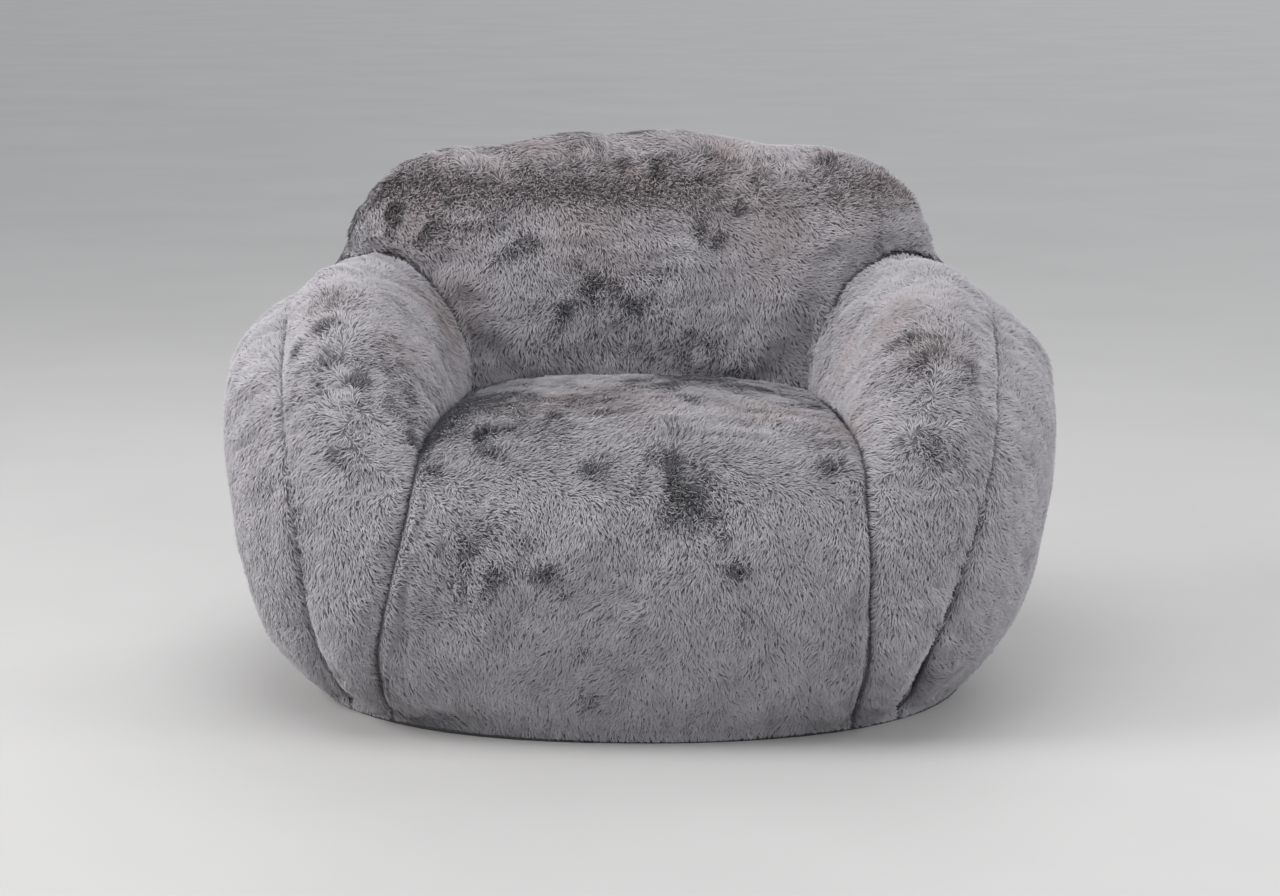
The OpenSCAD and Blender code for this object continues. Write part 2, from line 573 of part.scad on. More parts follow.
// ---- inner bags and their foam ----
module seat_bag() color(lining_tone) bag_between(seat_rings(0), seat_rings(bag_depth), seat_mouth);
module seat_bag_closure() closure(seat_rings(0), seat_rings(bag_depth), seat_mouth);
module seat_fill() color([0.9, 0.87, 0.78]) solid_through(seat_rings(fill_depth));
module back_bag() color(lining_tone) bag_between(back_rings(0), back_rings(bag_depth), back_mouth);
module back_bag_closure() closure(back_rings(0), back_rings(bag_depth), back_mouth);
module back_fill() color([0.9, 0.87, 0.78]) solid_through(back_rings(fill_depth));
module arm_bag() color(lining_tone) bag_between(arm_rings(0), arm_rings(bag_depth), arm_mouth);
module arm_bag_closure() closure(arm_rings(0), arm_rings(bag_depth), arm_mouth);
module arm_fill() color([0.9, 0.87, 0.78]) solid_through(arm_rings(fill_depth));
module arm_bag_left() arm_bag();
module arm_bag_right() mirror([1, 0, 0]) arm_bag();
module arm_bag_closure_left() arm_bag_closure();
module arm_bag_closure_right() mirror([1, 0, 0]) arm_bag_closure();
module arm_fill_left() arm_fill();
module arm_fill_right() mirror([1, 0, 0]) arm_fill();

seat_panel();
backrest_panel();
back_panel();
arm_panel_right();
arm_panel_left();
side_panel_right();
side_panel_left();
base_panel();
seat_baffle_right();
seat_baffle_left();
back_baffle();
wing_baffle_right();
wing_baffle_left();
zip_facing();
zip_tape_upper();
zip_tape_lower();
zip_teeth_upper();
zip_teeth_lower();
zip_stop_right();
zip_stop_left();
zip_slider();
zip_pull_pin();
zip_pull();
care_label();
seat_bag();
back_bag();
arm_bag_right();
arm_bag_left();
seat_bag_closure();
back_bag_closure();
arm_bag_closure_right();
arm_bag_closure_left();
seat_fill();
back_fill();
arm_fill_right();
arm_fill_left();
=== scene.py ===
"""Bean bag lounge chair in faux fur.

The cover's panels are shaped as puffed cloth with real tufts for their pile; the rear zip is the CAD's own.
Every length is in metres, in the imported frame: +X the sitter's left, -Y the front, +Z up.
"""
import math

import bpy
import numpy as np
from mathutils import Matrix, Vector


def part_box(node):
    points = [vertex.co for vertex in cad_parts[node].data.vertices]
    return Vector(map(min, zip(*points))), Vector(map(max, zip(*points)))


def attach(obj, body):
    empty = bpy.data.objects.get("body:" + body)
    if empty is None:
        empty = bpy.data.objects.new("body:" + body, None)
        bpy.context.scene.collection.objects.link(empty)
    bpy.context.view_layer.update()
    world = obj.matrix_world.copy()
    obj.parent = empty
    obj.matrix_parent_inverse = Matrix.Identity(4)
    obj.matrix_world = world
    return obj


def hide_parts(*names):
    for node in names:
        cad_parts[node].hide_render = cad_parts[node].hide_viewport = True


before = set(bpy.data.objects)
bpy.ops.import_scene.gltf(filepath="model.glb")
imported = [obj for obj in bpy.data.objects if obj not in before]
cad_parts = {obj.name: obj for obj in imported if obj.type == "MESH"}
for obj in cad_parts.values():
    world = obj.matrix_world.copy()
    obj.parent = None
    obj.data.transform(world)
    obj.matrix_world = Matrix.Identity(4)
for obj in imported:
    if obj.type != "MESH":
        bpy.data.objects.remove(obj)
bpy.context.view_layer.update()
rng = np.random.default_rng(748)

# ---------------------------------------------------------------- sizes, read from the frame
seat_lo, seat_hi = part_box("seat_panel")
side_hi, arm_hi, rest_hi, base_hi, facing_hi = (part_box(node)[1] for node in (
    "side_panel_left", "arm_panel_left", "backrest_panel", "base_panel", "zip_facing"))

HALF_W = side_hi.x
HALF_D = -seat_lo.y
HALF_BASE_W = base_hi.x
HALF_BASE_D = base_hi.y
BODY_H = rest_hi.z
SEAT_H = seat_hi.z
ARM_H = 0.974 * arm_hi.z        # the arm's seams; its crown stands a little over them
HEM_Z = base_hi.z
BAND_H = facing_hi.z
ARM_SEAM_X = 0.842 * HALF_W
BACK_HALF_W = 0.756 * HALF_W
TOP_HALF_W = 0.504 * HALF_W

# sizes of the CAD's surfaces that no box gives
CREASE_Y = 0.1                  # where the seat meets the backrest
SEAT_HALF_FRONT = 0.3           # half the seat's width between its seams, at the front
SEAT_HALF_REAR = 0.238          # the same at the backrest
FLAT_HALF = 0.345               # half the straight length of the rear hem
WING_TAN = math.tan(math.radians(26))      # slope of the seam behind each arm
FRONT_ROUND, REAR_ROUND = 2.3, 2.4         # powers of the base outline's rounded ends
CROWN_POWER = 2.3               # power of a panel's cross-section: 2 is a parabola, more is squarer


# ---------------------------------------------------------------- curves and panel surfaces
def lerp(a, b, t):
    return a + (b - a) * t


def unit(v):
    return v / np.maximum(np.linalg.norm(v, axis=-1, keepdims=True), 1e-12)


def smooth(x):
    x = np.clip(x, 0, 1)
    return x * x * (3 - 2 * x)


def along(points, t):
    """Smooth curve through the points, for an array of t from 0 to 1."""
    p, t = np.asarray(points, float), np.asarray(t, float)
    last = len(p) - 1
    i = np.clip(np.floor(t * last).astype(int), 0, last - 1)
    f = (t * last - i)[..., None]
    a, b, c, d = (p[np.clip(i + k, 0, last)] for k in (-1, 0, 1, 2))
    return 0.5 * (2 * b + (c - a) * f + (2 * a - 5 * b + 4 * c - d) * f**2
                  + (3 * b - a - 3 * c + d) * f**3)


def arch(a, c, b, s):
    """Cross-section of a panel from seam a over its crown c to seam b."""
    s = np.asarray(s, float)[..., None]
    return lerp(a, b, s) + (c - (a + b) / 2) * (1 - np.abs(2 * s - 1) ** CROWN_POWER)


def front_y(x):
    """The base outline's front, at x."""
    return -HALF_BASE_D * (1 - (abs(x) / HALF_BASE_W) ** FRONT_ROUND) ** (1 / FRONT_ROUND)


def hem(angle):
    """Points of the base outline at angles in degrees: -90 front, 0 side, 90 rear."""
    c, s = np.cos(np.radians(angle)), np.sin(np.radians(np.abs(angle)))
    front = np.stack([HALF_BASE_W * c ** (2 / FRONT_ROUND), -HALF_BASE_D * s ** (2 / FRONT_ROUND)], -1)
    corner = HALF_BASE_W - FLAT_HALF
    rear = np.stack([FLAT_HALF + corner * c ** (2 / REAR_ROUND), HALF_BASE_D * s ** (2 / REAR_ROUND)], -1)
    return np.where((np.asarray(angle) < 0)[..., None], front, rear)


def at_z(p, z):
    """Flat points lifted to height z."""
    return np.concatenate([p, np.broadcast_to(np.asarray(z, float)[..., None], (*p.shape[:-1], 1))], -1)


def seat_plane_x(y):
    """Half the seat's width at depth y."""
    return lerp(SEAT_HALF_REAR, SEAT_HALF_FRONT, (CREASE_Y - y) / (CREASE_Y + HALF_D))


def on_wing(x, z):
    """A point on the seam plane that runs back behind an arm."""
    return [x, CREASE_Y + (x - SEAT_HALF_REAR) * WING_TAN, z]


def settle(x, tries=6):
    """Where the seat's seam meets the front of the base outline, from a first guess x."""
    for _ in range(tries):
        x = seat_plane_x(front_y(x))
    return x


def find_wing_hem(low=0.0, high=89.0, tries=24):
    """Angle at which the base outline crosses the seam plane behind an arm."""
    for _ in range(tries):
        mid = (low + high) / 2
        x, y = hem(np.array(mid))
        low, high = (mid, high) if y < on_wing(x, 0)[1] else (low, mid)
    return mid


def scaled(rows, x, y, z):
    return [[a * x, b * y, c * z] for a, b, c in rows]


SEAT_HEM_X = settle(SEAT_HALF_FRONT)
OUTER_HEM_X = 0.75 * ARM_SEAM_X
OUTER_HEM_ANGLE = -math.degrees(math.acos((OUTER_HEM_X / HALF_BASE_W) ** (FRONT_ROUND / 2)))
WING_HEM_ANGLE = find_wing_hem()
OUTER_HEM = [OUTER_HEM_X, front_y(OUTER_HEM_X), HEM_Z]
ARM_HEM_X = (SEAT_HEM_X + OUTER_HEM_X) / 2
SHOULDER = on_wing(BACK_HALF_W, 0.982 * ARM_H)
SIDE_REAR = on_wing(0.957 * HALF_W, 0.58 * ARM_H)


def seat_rows(rows):
    """Points from x, share of the way from the front to the crease, and share of the seat's height."""
    return [[x, lerp(-HALF_D, CREASE_Y, share), z * SEAT_H] for x, share, z in rows]


SEAT_SEAM = [[SEAT_HEM_X, front_y(SEAT_HEM_X), HEM_Z]] + [
    [seat_plane_x(y), y, z] for _, y, z in seat_rows(
        [[0, 0.065, 0.26], [0, 0.035, 0.5], [0, 0.09, 0.745], [0, 0.235, 0.89], [0, 0.5, 0.925],
         [0, 0.76, 0.92], [0, 1, 0.905]])]
SEAT_CROWN = [[0, -HALF_BASE_D, HEM_Z]] + seat_rows(
    [[0, 0.03, 0.23], [0, 0, 0.48], [0, 0.04, 0.745], [0, 0.19, 0.945], [0, 0.5, 1], [0, 0.76, 0.985],
     [0, 1, 0.935]])
ARM_CROWN = [[ARM_HEM_X, front_y(ARM_HEM_X), HEM_Z]] + scaled(
    [[0.736, -0.876, 0.196], [0.776, -0.89, 0.383], [0.789, -0.835, 0.587], [0.78, -0.67, 0.785],
     [0.768, -0.381, 0.935], [0.756, -0.031, 1]], ARM_SEAM_X, HALF_D, ARM_H) + [
    on_wing(0.646 * ARM_SEAM_X, 0.975 * ARM_H)]
OUTER_SEAM = [OUTER_HEM] + scaled(
    [[0.837, -0.711, 0.231], [0.894, -0.753, 0.418], [0.941, -0.691, 0.596], [0.976, -0.515, 0.756],
     [1, -0.237, 0.868], [0.992, 0.062, 0.934]], ARM_SEAM_X, HALF_D, ARM_H) + [SHOULDER]
SIDE_CROWN = [OUTER_HEM] + scaled(
    [[0.761, -0.619, 0.133], [0.863, -0.54, 0.24], [0.937, -0.381, 0.365], [0.983, -0.196, 0.51],
     [1, 0, 0.6], [0.993, 0.247, 0.62]], HALF_W, HALF_D, ARM_H) + [SIDE_REAR]

TOP_Y, TOP_Z = 0.75 * HALF_D, 0.925 * BODY_H
REST_Y, RISE = CREASE_Y + 0.078, 0.946 * BODY_H
BULGE_Y, BACK_Z = HALF_D - 0.004, 0.48 * BODY_H


def both_sides(half):
    """A line of points from the middle outwards, with its mirror image before it."""
    half = np.asarray(half, float)
    return np.concatenate([half[:0:-1] * [-1, 1, 1], half])


TOP_SEAM = both_sides([
    [0, TOP_Y, TOP_Z], [0.37 * TOP_HALF_W, TOP_Y, 0.996 * TOP_Z],
    [0.71 * TOP_HALF_W, TOP_Y - 0.008, 0.98 * TOP_Z],
    [1.05 * TOP_HALF_W, TOP_Y - 0.045, lerp(SHOULDER[2], TOP_Z, 0.94)],
    [lerp(TOP_HALF_W, BACK_HALF_W, 0.72), lerp(SHOULDER[1], TOP_Y, 0.35), lerp(SHOULDER[2], TOP_Z, 0.62)],
    SHOULDER])
REST_CROWN = both_sides([
    [0, REST_Y, RISE], [0.38 * TOP_HALF_W, REST_Y, 0.996 * RISE], [0.72 * TOP_HALF_W, REST_Y, 0.98 * RISE],
    [1.09 * TOP_HALF_W, REST_Y, lerp(SHOULDER[2], RISE, 0.86)],
    [0.9 * BACK_HALF_W, REST_Y + 0.008, lerp(SHOULDER[2], RISE, 0.56)], SHOULDER])
BACK_CROWN = both_sides([
    [0, BULGE_Y, BACK_Z], [0.2 * HALF_W, BULGE_Y, BACK_Z], [0.4 * HALF_W, 0.99 * BULGE_Y, BACK_Z],
    [0.59 * HALF_W, 0.955 * BULGE_Y, BACK_Z],
    [0.79 * HALF_W, 0.835 * BULGE_Y, lerp(SIDE_REAR[2], BACK_Z, 0.6)], SIDE_REAR])


STRAIGHT_SHARE = 0.7      # share of the rear hem's columns that lie on its straight part
BAND_END_SHARE = 0.25     # share of the columns over which the hem falls from the zip strip to the base


def mirrored(points, side):
    return np.array(points, float) * [side, 1, 1]


def seat_at(t, s):
    return arch(along(mirrored(SEAT_SEAM, -1), t), along(SEAT_CROWN, t), along(SEAT_SEAM, t), s)


def arm_at(side, t, s):
    return arch(*(along(mirrored(points, side), t) for points in (SEAT_SEAM, ARM_CROWN, OUTER_SEAM)), s)


def side_at(side, t, r):
    low = at_z(hem(lerp(OUTER_HEM_ANGLE, WING_HEM_ANGLE, t)), HEM_Z) * [side, 1, 1]
    return arch(along(mirrored(OUTER_SEAM, side), t), along(mirrored(SIDE_CROWN, side), t), low, r)


def crease(u):
    """The backrest's lower seam, for u from -1 to 1: the seat's end in the middle, the arms' ends outside."""
    a, side = np.abs(u), np.where(u < 0, -1, 1)
    one = np.ones_like(a)
    over_arm = arm_at(1, one, np.maximum(2 * a - 1, 0))
    p = np.where((a < 0.5)[..., None], seat_at(one, np.minimum(0.5 + a, 1)), over_arm)
    return p * np.stack([side, one, one], -1)


def rest_at(u, v):
    return arch(crease(u), along(REST_CROWN, (u + 1) / 2), along(TOP_SEAM, (u + 1) / 2), v)


def rear_hem(u):
    """The base outline behind the chair, for u from -1 to 1: straight at the zip, then round the corner."""
    a, side = np.abs(u), np.where(u < 0, -1, 1)
    straight = np.stack([FLAT_HALF * a / STRAIGHT_SHARE, np.full_like(a, HALF_BASE_D)], -1)
    bend = hem(lerp(90.0, WING_HEM_ANGLE, np.clip((a - STRAIGHT_SHARE) / (1 - STRAIGHT_SHARE), 0, 1)))
    return np.where((a < STRAIGHT_SHARE)[..., None], straight, bend) * np.stack([side, np.ones_like(a)], -1)


def back_at(u, v):
    low = at_z(rear_hem(u), lerp(HEM_Z, BAND_H, smooth((1 - np.abs(u)) / BAND_END_SHARE)))
    return arch(along(TOP_SEAM, (u + 1) / 2), along(BACK_CROWN, (u + 1) / 2), low, v)


# ---------------------------------------------------------------- the chair's uneven stuffing
# the cover has slewed a little on its stuffing, low down at the front: how far it is turned about the
# chair's middle, in degrees, at angles from the front (the sitter's left is positive)
SLEW_ANGLES = [-115, -70, -50, -37, -15, 15, 37, 50, 70, 115]
SLEW_DEGREES = [0, -1.2, -3.7, -8.2, -4.5, -1.0, 0, -5.5, -2.5, 0]
SLEW_TOP = 0.40               # height at which the turn has faded out
SLEW_BLUR = (-6, -3, 0, 3, 6)  # degrees over which the turn is averaged


def slewed(p):
    p = np.array(p, float)
    x, y = p[..., 0] / HALF_BASE_W, p[..., 1] / HALF_BASE_D
    angle = np.degrees(np.arctan2(x, -y))
    turn = sum(np.interp(angle + k, SLEW_ANGLES, SLEW_DEGREES) for k in SLEW_BLUR) / len(SLEW_BLUR)
    turn = np.radians(turn * smooth(1 - p[..., 2] / SLEW_TOP))
    p[..., 0] = (x * np.cos(turn) - y * np.sin(turn)) * HALF_BASE_W
    p[..., 1] = (x * np.sin(turn) + y * np.cos(turn)) * HALF_BASE_D
    return p


# ---------------------------------------------------------------- smooth noise
def waves(p, size, seed, count=14):
    """Smooth noise at points p, about -1 to 1, whose bumps are about that size across."""
    own = np.random.default_rng(seed)
    k = unit(own.normal(size=(count, 3))) * (math.pi / size) * own.uniform(0.7, 1.4, (count, 1))
    phase = own.uniform(0, 2 * math.pi, count)
    total = np.zeros(p.shape[:-1])
    for direction, start in zip(k, phase):
        total += np.sin(p @ direction + start)
    return total / math.sqrt(count / 2) / 1.6


# ---------------------------------------------------------------- the cover as one welded cloth
LENGTH_STEPS, SEAT_STEPS, ARM_STEPS, SIDE_STEPS, REST_STEPS = 92, 56, 26, 56, 36


def steps(n, low=0.0, high=1.0):
    """The ends of n equal steps."""
    return np.linspace(low, high, n + 1)


def columns(fineness):
    """u of the backrest's and back's columns, which meet those of the arms and the seat."""
    arm, seat = ARM_STEPS * fineness, SEAT_STEPS * fineness
    return np.concatenate([steps(arm, -1, -0.5)[:-1], steps(seat, -0.5, 0.5), steps(arm, 0.5, 1)[1:]])


def panel_grids(fineness):
    """{panel: points[rows, columns, 3]} on the outside of the pile; fineness multiplies the steps."""
    rows, side_columns = steps(LENGTH_STEPS * fineness), steps(SIDE_STEPS * fineness)
    t, s = np.meshgrid(rows, steps(SEAT_STEPS * fineness), indexing="ij")
    grids = {"seat": seat_at(t, s)}
    t, s = np.meshgrid(rows, steps(ARM_STEPS * fineness), indexing="ij")
    tr, r = np.meshgrid(rows, side_columns, indexing="ij")
    for name, side in (("right", -1), ("left", 1)):
        grids["arm_" + name] = arm_at(side, t, s)
        grids["side_" + name] = side_at(side, tr, r)
    v, u = np.meshgrid(steps(REST_STEPS * fineness), columns(fineness), indexing="ij")
    grids["rest"] = rest_at(u, v)
    v, u = np.meshgrid(side_columns, columns(fineness), indexing="ij")
    grids["back"] = back_at(u, v)
    return {name: slewed(g) for name, g in grids.items()}


# rows and columns of a grid run so that this sign makes their cross product point outwards
OUTWARD = {"seat": -1, "arm_left": -1, "side_left": -1, "arm_right": 1, "side_right": 1,
           "rest": -1, "back": -1}
WELD = 2e-5                   # points nearer than this are one


def grid_quads(shape, first=0, sign=1):
    """Corners of a grid's quads, whose points count up from first."""
    i, j = np.meshgrid(np.arange(shape[0] - 1), np.arange(shape[1] - 1), indexing="ij")
    a = first + i * shape[1] + j
    ring = [a, a + 1, a + shape[1] + 1, a + shape[1]]
    return np.stack(ring if sign < 0 else ring[::-1], -1).reshape(-1, 4)


class Cover:
    """All panels' grids welded along their seams: points, quads, and each grid point's welded index."""

    def __init__(self, grids):
        flat, quads, self.index, first = [], [], {}, 0
        for name, g in grids.items():
            flat.append(g.reshape(-1, 3))
            quads.append(grid_quads(g.shape, first, OUTWARD[name]))
            self.index[name] = (first, g.shape[:2])
            first += flat[-1].shape[0]
        flat = np.concatenate(flat)
        key = np.round(flat / WELD).astype(np.int64)
        _, keep, back = np.unique(key, axis=0, return_index=True, return_inverse=True)
        back = back.reshape(-1)
        self.points, self.quads = flat[keep], back[np.concatenate(quads)]
        self.index = {n: back[f:f + sh[0] * sh[1]].reshape(sh) for n, (f, sh) in self.index.items()}
        self.normals = self.vertex_normals(self.points)

    def vertex_normals(self, points):
        q = points[self.quads]
        face = np.cross(q[:, 2] - q[:, 0], q[:, 3] - q[:, 1])
        n = np.zeros_like(points)
        for k in range(4):
            for axis in range(3):
                n[:, axis] += np.bincount(self.quads[:, k], face[:, axis], len(points))
        return unit(n)

    def edge_points(self):
        """Indices of the points that lie on a panel's seam or hem."""
        return np.unique(np.concatenate([np.concatenate([i[0], i[-1], i[:, 0], i[:, -1]])
                                         for i in self.index.values()]))


def mesh_from(name, points, faces):
    """A mesh from arrays of points and of faces that all have as many corners."""
    mesh = bpy.data.meshes.new(name)
    count, corners = faces.shape
    mesh.vertices.add(len(points))
    mesh.vertices.foreach_set("co", np.ascontiguousarray(points, np.float32).ravel())
    mesh.loops.add(count * corners)
    mesh.loops.foreach_set("vertex_index", np.ascontiguousarray(faces, np.int32).ravel())
    mesh.polygons.add(count)
    mesh.polygons.foreach_set("loop_start", np.arange(0, count * corners, corners, dtype=np.int32))
    mesh.update(calc_edges=True)
    return mesh


def made(name, data):
    """A new object in the scene."""
    obj = bpy.data.objects.new(name, data)
    bpy.context.scene.collection.objects.link(obj)
    return obj


# ---------------------------------------------------------------- cloth simulation of the cover
SKIN_DEPTH = 0.006            # the skin's base depth below the outside of the pile
PUFF_PRESSURE = 4.0
PUFF_FRAMES = 20
CLOTH_QUALITY, CLOTH_MASS = 6, 0.3
CLOTH_STRETCH, CLOTH_SHEAR, CLOTH_BEND = 14, 6, 0.35
CLOTH_SPARE = 0.03            # spare cloth between the pinned seams, which puckers as the panels puff


def puffed(cover):
    """How far the cover's points move when the panels are blown up between their stitched seams."""
    start = cover.points - cover.normals * SKIN_DEPTH
    mesh = mesh_from("puff", start, cover.quads)
    mesh.validate()
    obj = made("puff", mesh)
    pin = obj.vertex_groups.new(name="pin")
    pin.add([int(i) for i in cover.edge_points()], 1.0, "REPLACE")
    cloth = obj.modifiers.new("Cloth", "CLOTH").settings
    cloth.quality = CLOTH_QUALITY
    cloth.mass = CLOTH_MASS
    cloth.tension_stiffness = cloth.compression_stiffness = CLOTH_STRETCH
    cloth.shear_stiffness = CLOTH_SHEAR
    cloth.bending_stiffness = CLOTH_BEND
    cloth.vertex_group_mass = "pin"
    cloth.shrink_min = -CLOTH_SPARE
    cloth.use_pressure = True
    cloth.uniform_pressure_force = PUFF_PRESSURE
    cloth.effector_weights.gravity = 0
    scene = bpy.context.scene
    for frame_number in range(1, PUFF_FRAMES + 1):
        scene.frame_set(frame_number)
    shaped = obj.evaluated_get(bpy.context.evaluated_depsgraph_get()).data
    out = np.zeros(len(shaped.vertices) * 3, np.float32)
    shaped.vertices.foreach_get("co", out)
    bpy.data.objects.remove(obj)
    bpy.data.meshes.remove(mesh)
    scene.frame_set(1)
    return out.reshape(-1, 3).astype(float) - start


# ---------------------------------------------------------------- grids of values
def upsampled(h):
    """A grid of values at twice the steps."""
    for axis in (0, 1):
        h = np.moveaxis(h, axis, 0)
        out = np.zeros((2 * len(h) - 1, *h.shape[1:]))
        out[::2], out[1::2] = h, (h[1:] + h[:-1]) / 2
        h = np.moveaxis(out, 0, axis)
    return h


def blurred(h, times, edge=None):
    """A grid smoothed many times; with edge, its border is held at that value."""
    for _ in range(times):
        for axis in (0, 1):
            h = np.moveaxis(h, axis, 0)
            padded = np.concatenate([h[:1], h, h[-1:]])
            h = np.moveaxis((padded[:-2] + 2 * h + padded[2:]) / 4, 0, axis)
        if edge is not None:
            h[0] = h[-1] = h[:, 0] = h[:, -1] = edge
    return h


# each panel's hem on the base or the zip strip, as (axis, end); its other edges are sewn seams
HEMS = {"seat": (0, 0), "arm_left": (0, 0), "arm_right": (0, 0), "side_left": (1, 1), "side_right": (1, 1),
        "back": (0, 1), "rest": None}
FAR = 9.0                     # distance from an edge that the panel doesn't have


def edge_distances(g, hem_edge):
    """How far each grid point is, over the surface, from its panel's nearest seam, and from its hem."""
    seam, hem_gap = np.full(g.shape[:2], FAR), np.full(g.shape[:2], FAR)
    for axis in (0, 1):
        run = np.linalg.norm(np.diff(g, axis=axis), axis=-1)
        run = np.concatenate([np.zeros_like(np.take(run, [0], axis)), np.cumsum(run, axis)], axis)
        for end, gap in enumerate((run, np.take(run, [-1], axis) - run)):
            if (axis, end) == hem_edge:
                hem_gap = gap
            else:
                seam = np.minimum(seam, gap)
    return seam, hem_gap


# ---------------------------------------------------------------- relief of the skins
MAX_DEPTH = 0.0136            # the inner bags begin a little deeper than this
PINCH, PINCH_W = 0.0072, 0.0048         # how deep a seam pulls in, and how wide
PINCH_WANDER = (0.4, 0.06, 8)           # how the pinch varies: gain, size, seed
HEM_DEPTH, HEM_ROLL = 0.002, 0.02       # the skin's depth at a hem, and how far in it reaches the rest's
CALM = 0.03                             # lumps fade out over this distance from a seam
WRINKLE_GAIN, BULGE_GAIN = 0.9, 0.12    # shares of the simulated puckers and of their wide swelling
WRINKLE_LOW, WRINKLE_HIGH = -0.003, 0.009
BLUR_TIMES = 60
LUMP_WAVES = ((0.0022, 0.11, 5), (0.0011, 0.045, 6))       # height, size, seed
RUFFLE_HEIGHT, RUFFLE_SIZE = 0.0022, 0.02                  # bumps where the pile is ruffled

# places where the pile is ruffled and its dark roots show: x, y, z, radius, strength
RUFFLES = np.array([
    [-0.304, 0.138, 0.62, 0.036, 0.5], [-0.245, 0.149, 0.646, 0.044, 0.5],
    [-0.176, 0.157, 0.668, 0.044, 0.4], [-0.061, 0.174, 0.699, 0.051, 0.55],
    [0.015, 0.164, 0.687, 0.044, 0.5], [0.086, 0.171, 0.694, 0.044, 0.5], [0.173, 0.174, 0.69, 0.041, 0.4],
    [0.264, 0.184, 0.696, 0.044, 0.4], [0.338, 0.16, 0.653, 0.029, 0.4],
    [-0.188, 0.124, 0.588, 0.026, 0.9], [-0.219, 0.12, 0.569, 0.017, 0.8],
    [-0.154, 0.126, 0.60, 0.015, 1.0], [0.105, 0.125, 0.604, 0.016, 1.0], [0.087, 0.13, 0.62, 0.017, 0.7],
    [0.139, 0.138, 0.638, 0.015, 0.6], [-0.06, 0.11, 0.533, 0.043, 0.6],
    [-0.104, 0.106, 0.498, 0.035, 0.45], [-0.009, 0.107, 0.512, 0.02, 0.6],
    [0.074, 0.101, 0.438, 0.041, 0.5], [0.00, 0.101, 0.425, 0.032, 0.4], [0.145, 0.10, 0.407, 0.038, 0.5],
    [0.405, 0.178, 0.59, 0.019, 0.6], [-0.418, -0.20, 0.519, 0.024, 0.7],
    [-0.402, -0.269, 0.482, 0.047, 0.6], [-0.34, -0.314, 0.444, 0.046, 0.5],
    [-0.382, -0.384, 0.373, 0.018, 0.95], [-0.324, -0.206, 0.482, 0.04, 0.35],
    [-0.289, -0.339, 0.385, 0.033, 0.45], [-0.459, -0.204, 0.488, 0.016, 0.5],
    [-0.265, -0.389, 0.365, 0.014, 0.8], [-0.212, -0.328, 0.398, 0.024, 0.55],
    [-0.181, -0.396, 0.378, 0.019, 0.5], [-0.063, -0.43, 0.361, 0.022, 0.95],
    [0.005, -0.402, 0.386, 0.026, 0.6], [0.031, -0.427, 0.365, 0.029, 0.75],
    [0.062, -0.447, 0.339, 0.033, 0.8], [0.093, -0.459, 0.317, 0.025, 0.6],
    [0.114, -0.474, 0.277, 0.018, 0.7], [0.123, -0.481, 0.233, 0.015, 0.75],
    [0.138, -0.483, 0.191, 0.014, 0.6], [-0.12, -0.478, 0.237, 0.018, 0.85],
    [-0.101, -0.481, 0.21, 0.011, 0.7], [-0.218, -0.466, 0.248, 0.036, 0.5],
    [-0.159, -0.471, 0.268, 0.018, 0.5], [-0.068, -0.451, 0.064, 0.014, 0.8],
    [-0.081, -0.474, 0.136, 0.014, 0.4], [0.243, -0.401, 0.362, 0.028, 0.5],
    [0.051, -0.358, 0.406, 0.017, 0.6], [0.45, -0.36, 0.285, 0.012, 0.9],
    [0.384, -0.415, 0.144, 0.014, 0.9], [0.385, -0.249, 0.495, 0.045, 0.5],
    [0.345, -0.215, 0.498, 0.027, 0.5], [0.426, -0.27, 0.471, 0.032, 0.5],
    [0.387, -0.372, 0.387, 0.035, 0.45], [0.481, -0.274, 0.402, 0.019, 0.35],
    [-0.344, 0.165, 0.658, 0.009, 1.0], [-0.353, 0.159, 0.639, 0.01, 1.0],
    [-0.363, 0.157, 0.621, 0.01, 1.0], [-0.375, 0.161, 0.599, 0.01, 1.0],
    [0.344, 0.147, 0.614, 0.007, 0.9], [0.346, 0.147, 0.593, 0.007, 0.9],
    [-0.054, -0.274, 0.419, 0.045, 0.4], [0.054, -0.252, 0.421, 0.045, 0.4],
    [0.159, -0.286, 0.411, 0.045, 0.4], [0.239, -0.347, 0.389, 0.034, 0.45],
    [-0.131, -0.329, 0.408, 0.039, 0.35], [0.373, 0.227, 0.684, 0.033, 0.4],
    [-0.383, -0.298, 0.463, 0.077, 0.5], [-0.307, -0.297, 0.426, 0.056, 0.4],
    [0.394, -0.257, 0.49, 0.064, 0.42], [0.062, -0.441, 0.347, 0.077, 0.33],
    [-0.184, -0.37, 0.391, 0.065, 0.28], [-0.201, -0.469, 0.247, 0.057, 0.42],
    [-0.422, -0.139, 0.545, 0.036, 0.35], [0.401, -0.364, 0.389, 0.039, 0.4],
    [0.00, 0.107, 0.512, 0.058, 0.3], [-0.115, 0.104, 0.474, 0.058, 0.25],
])
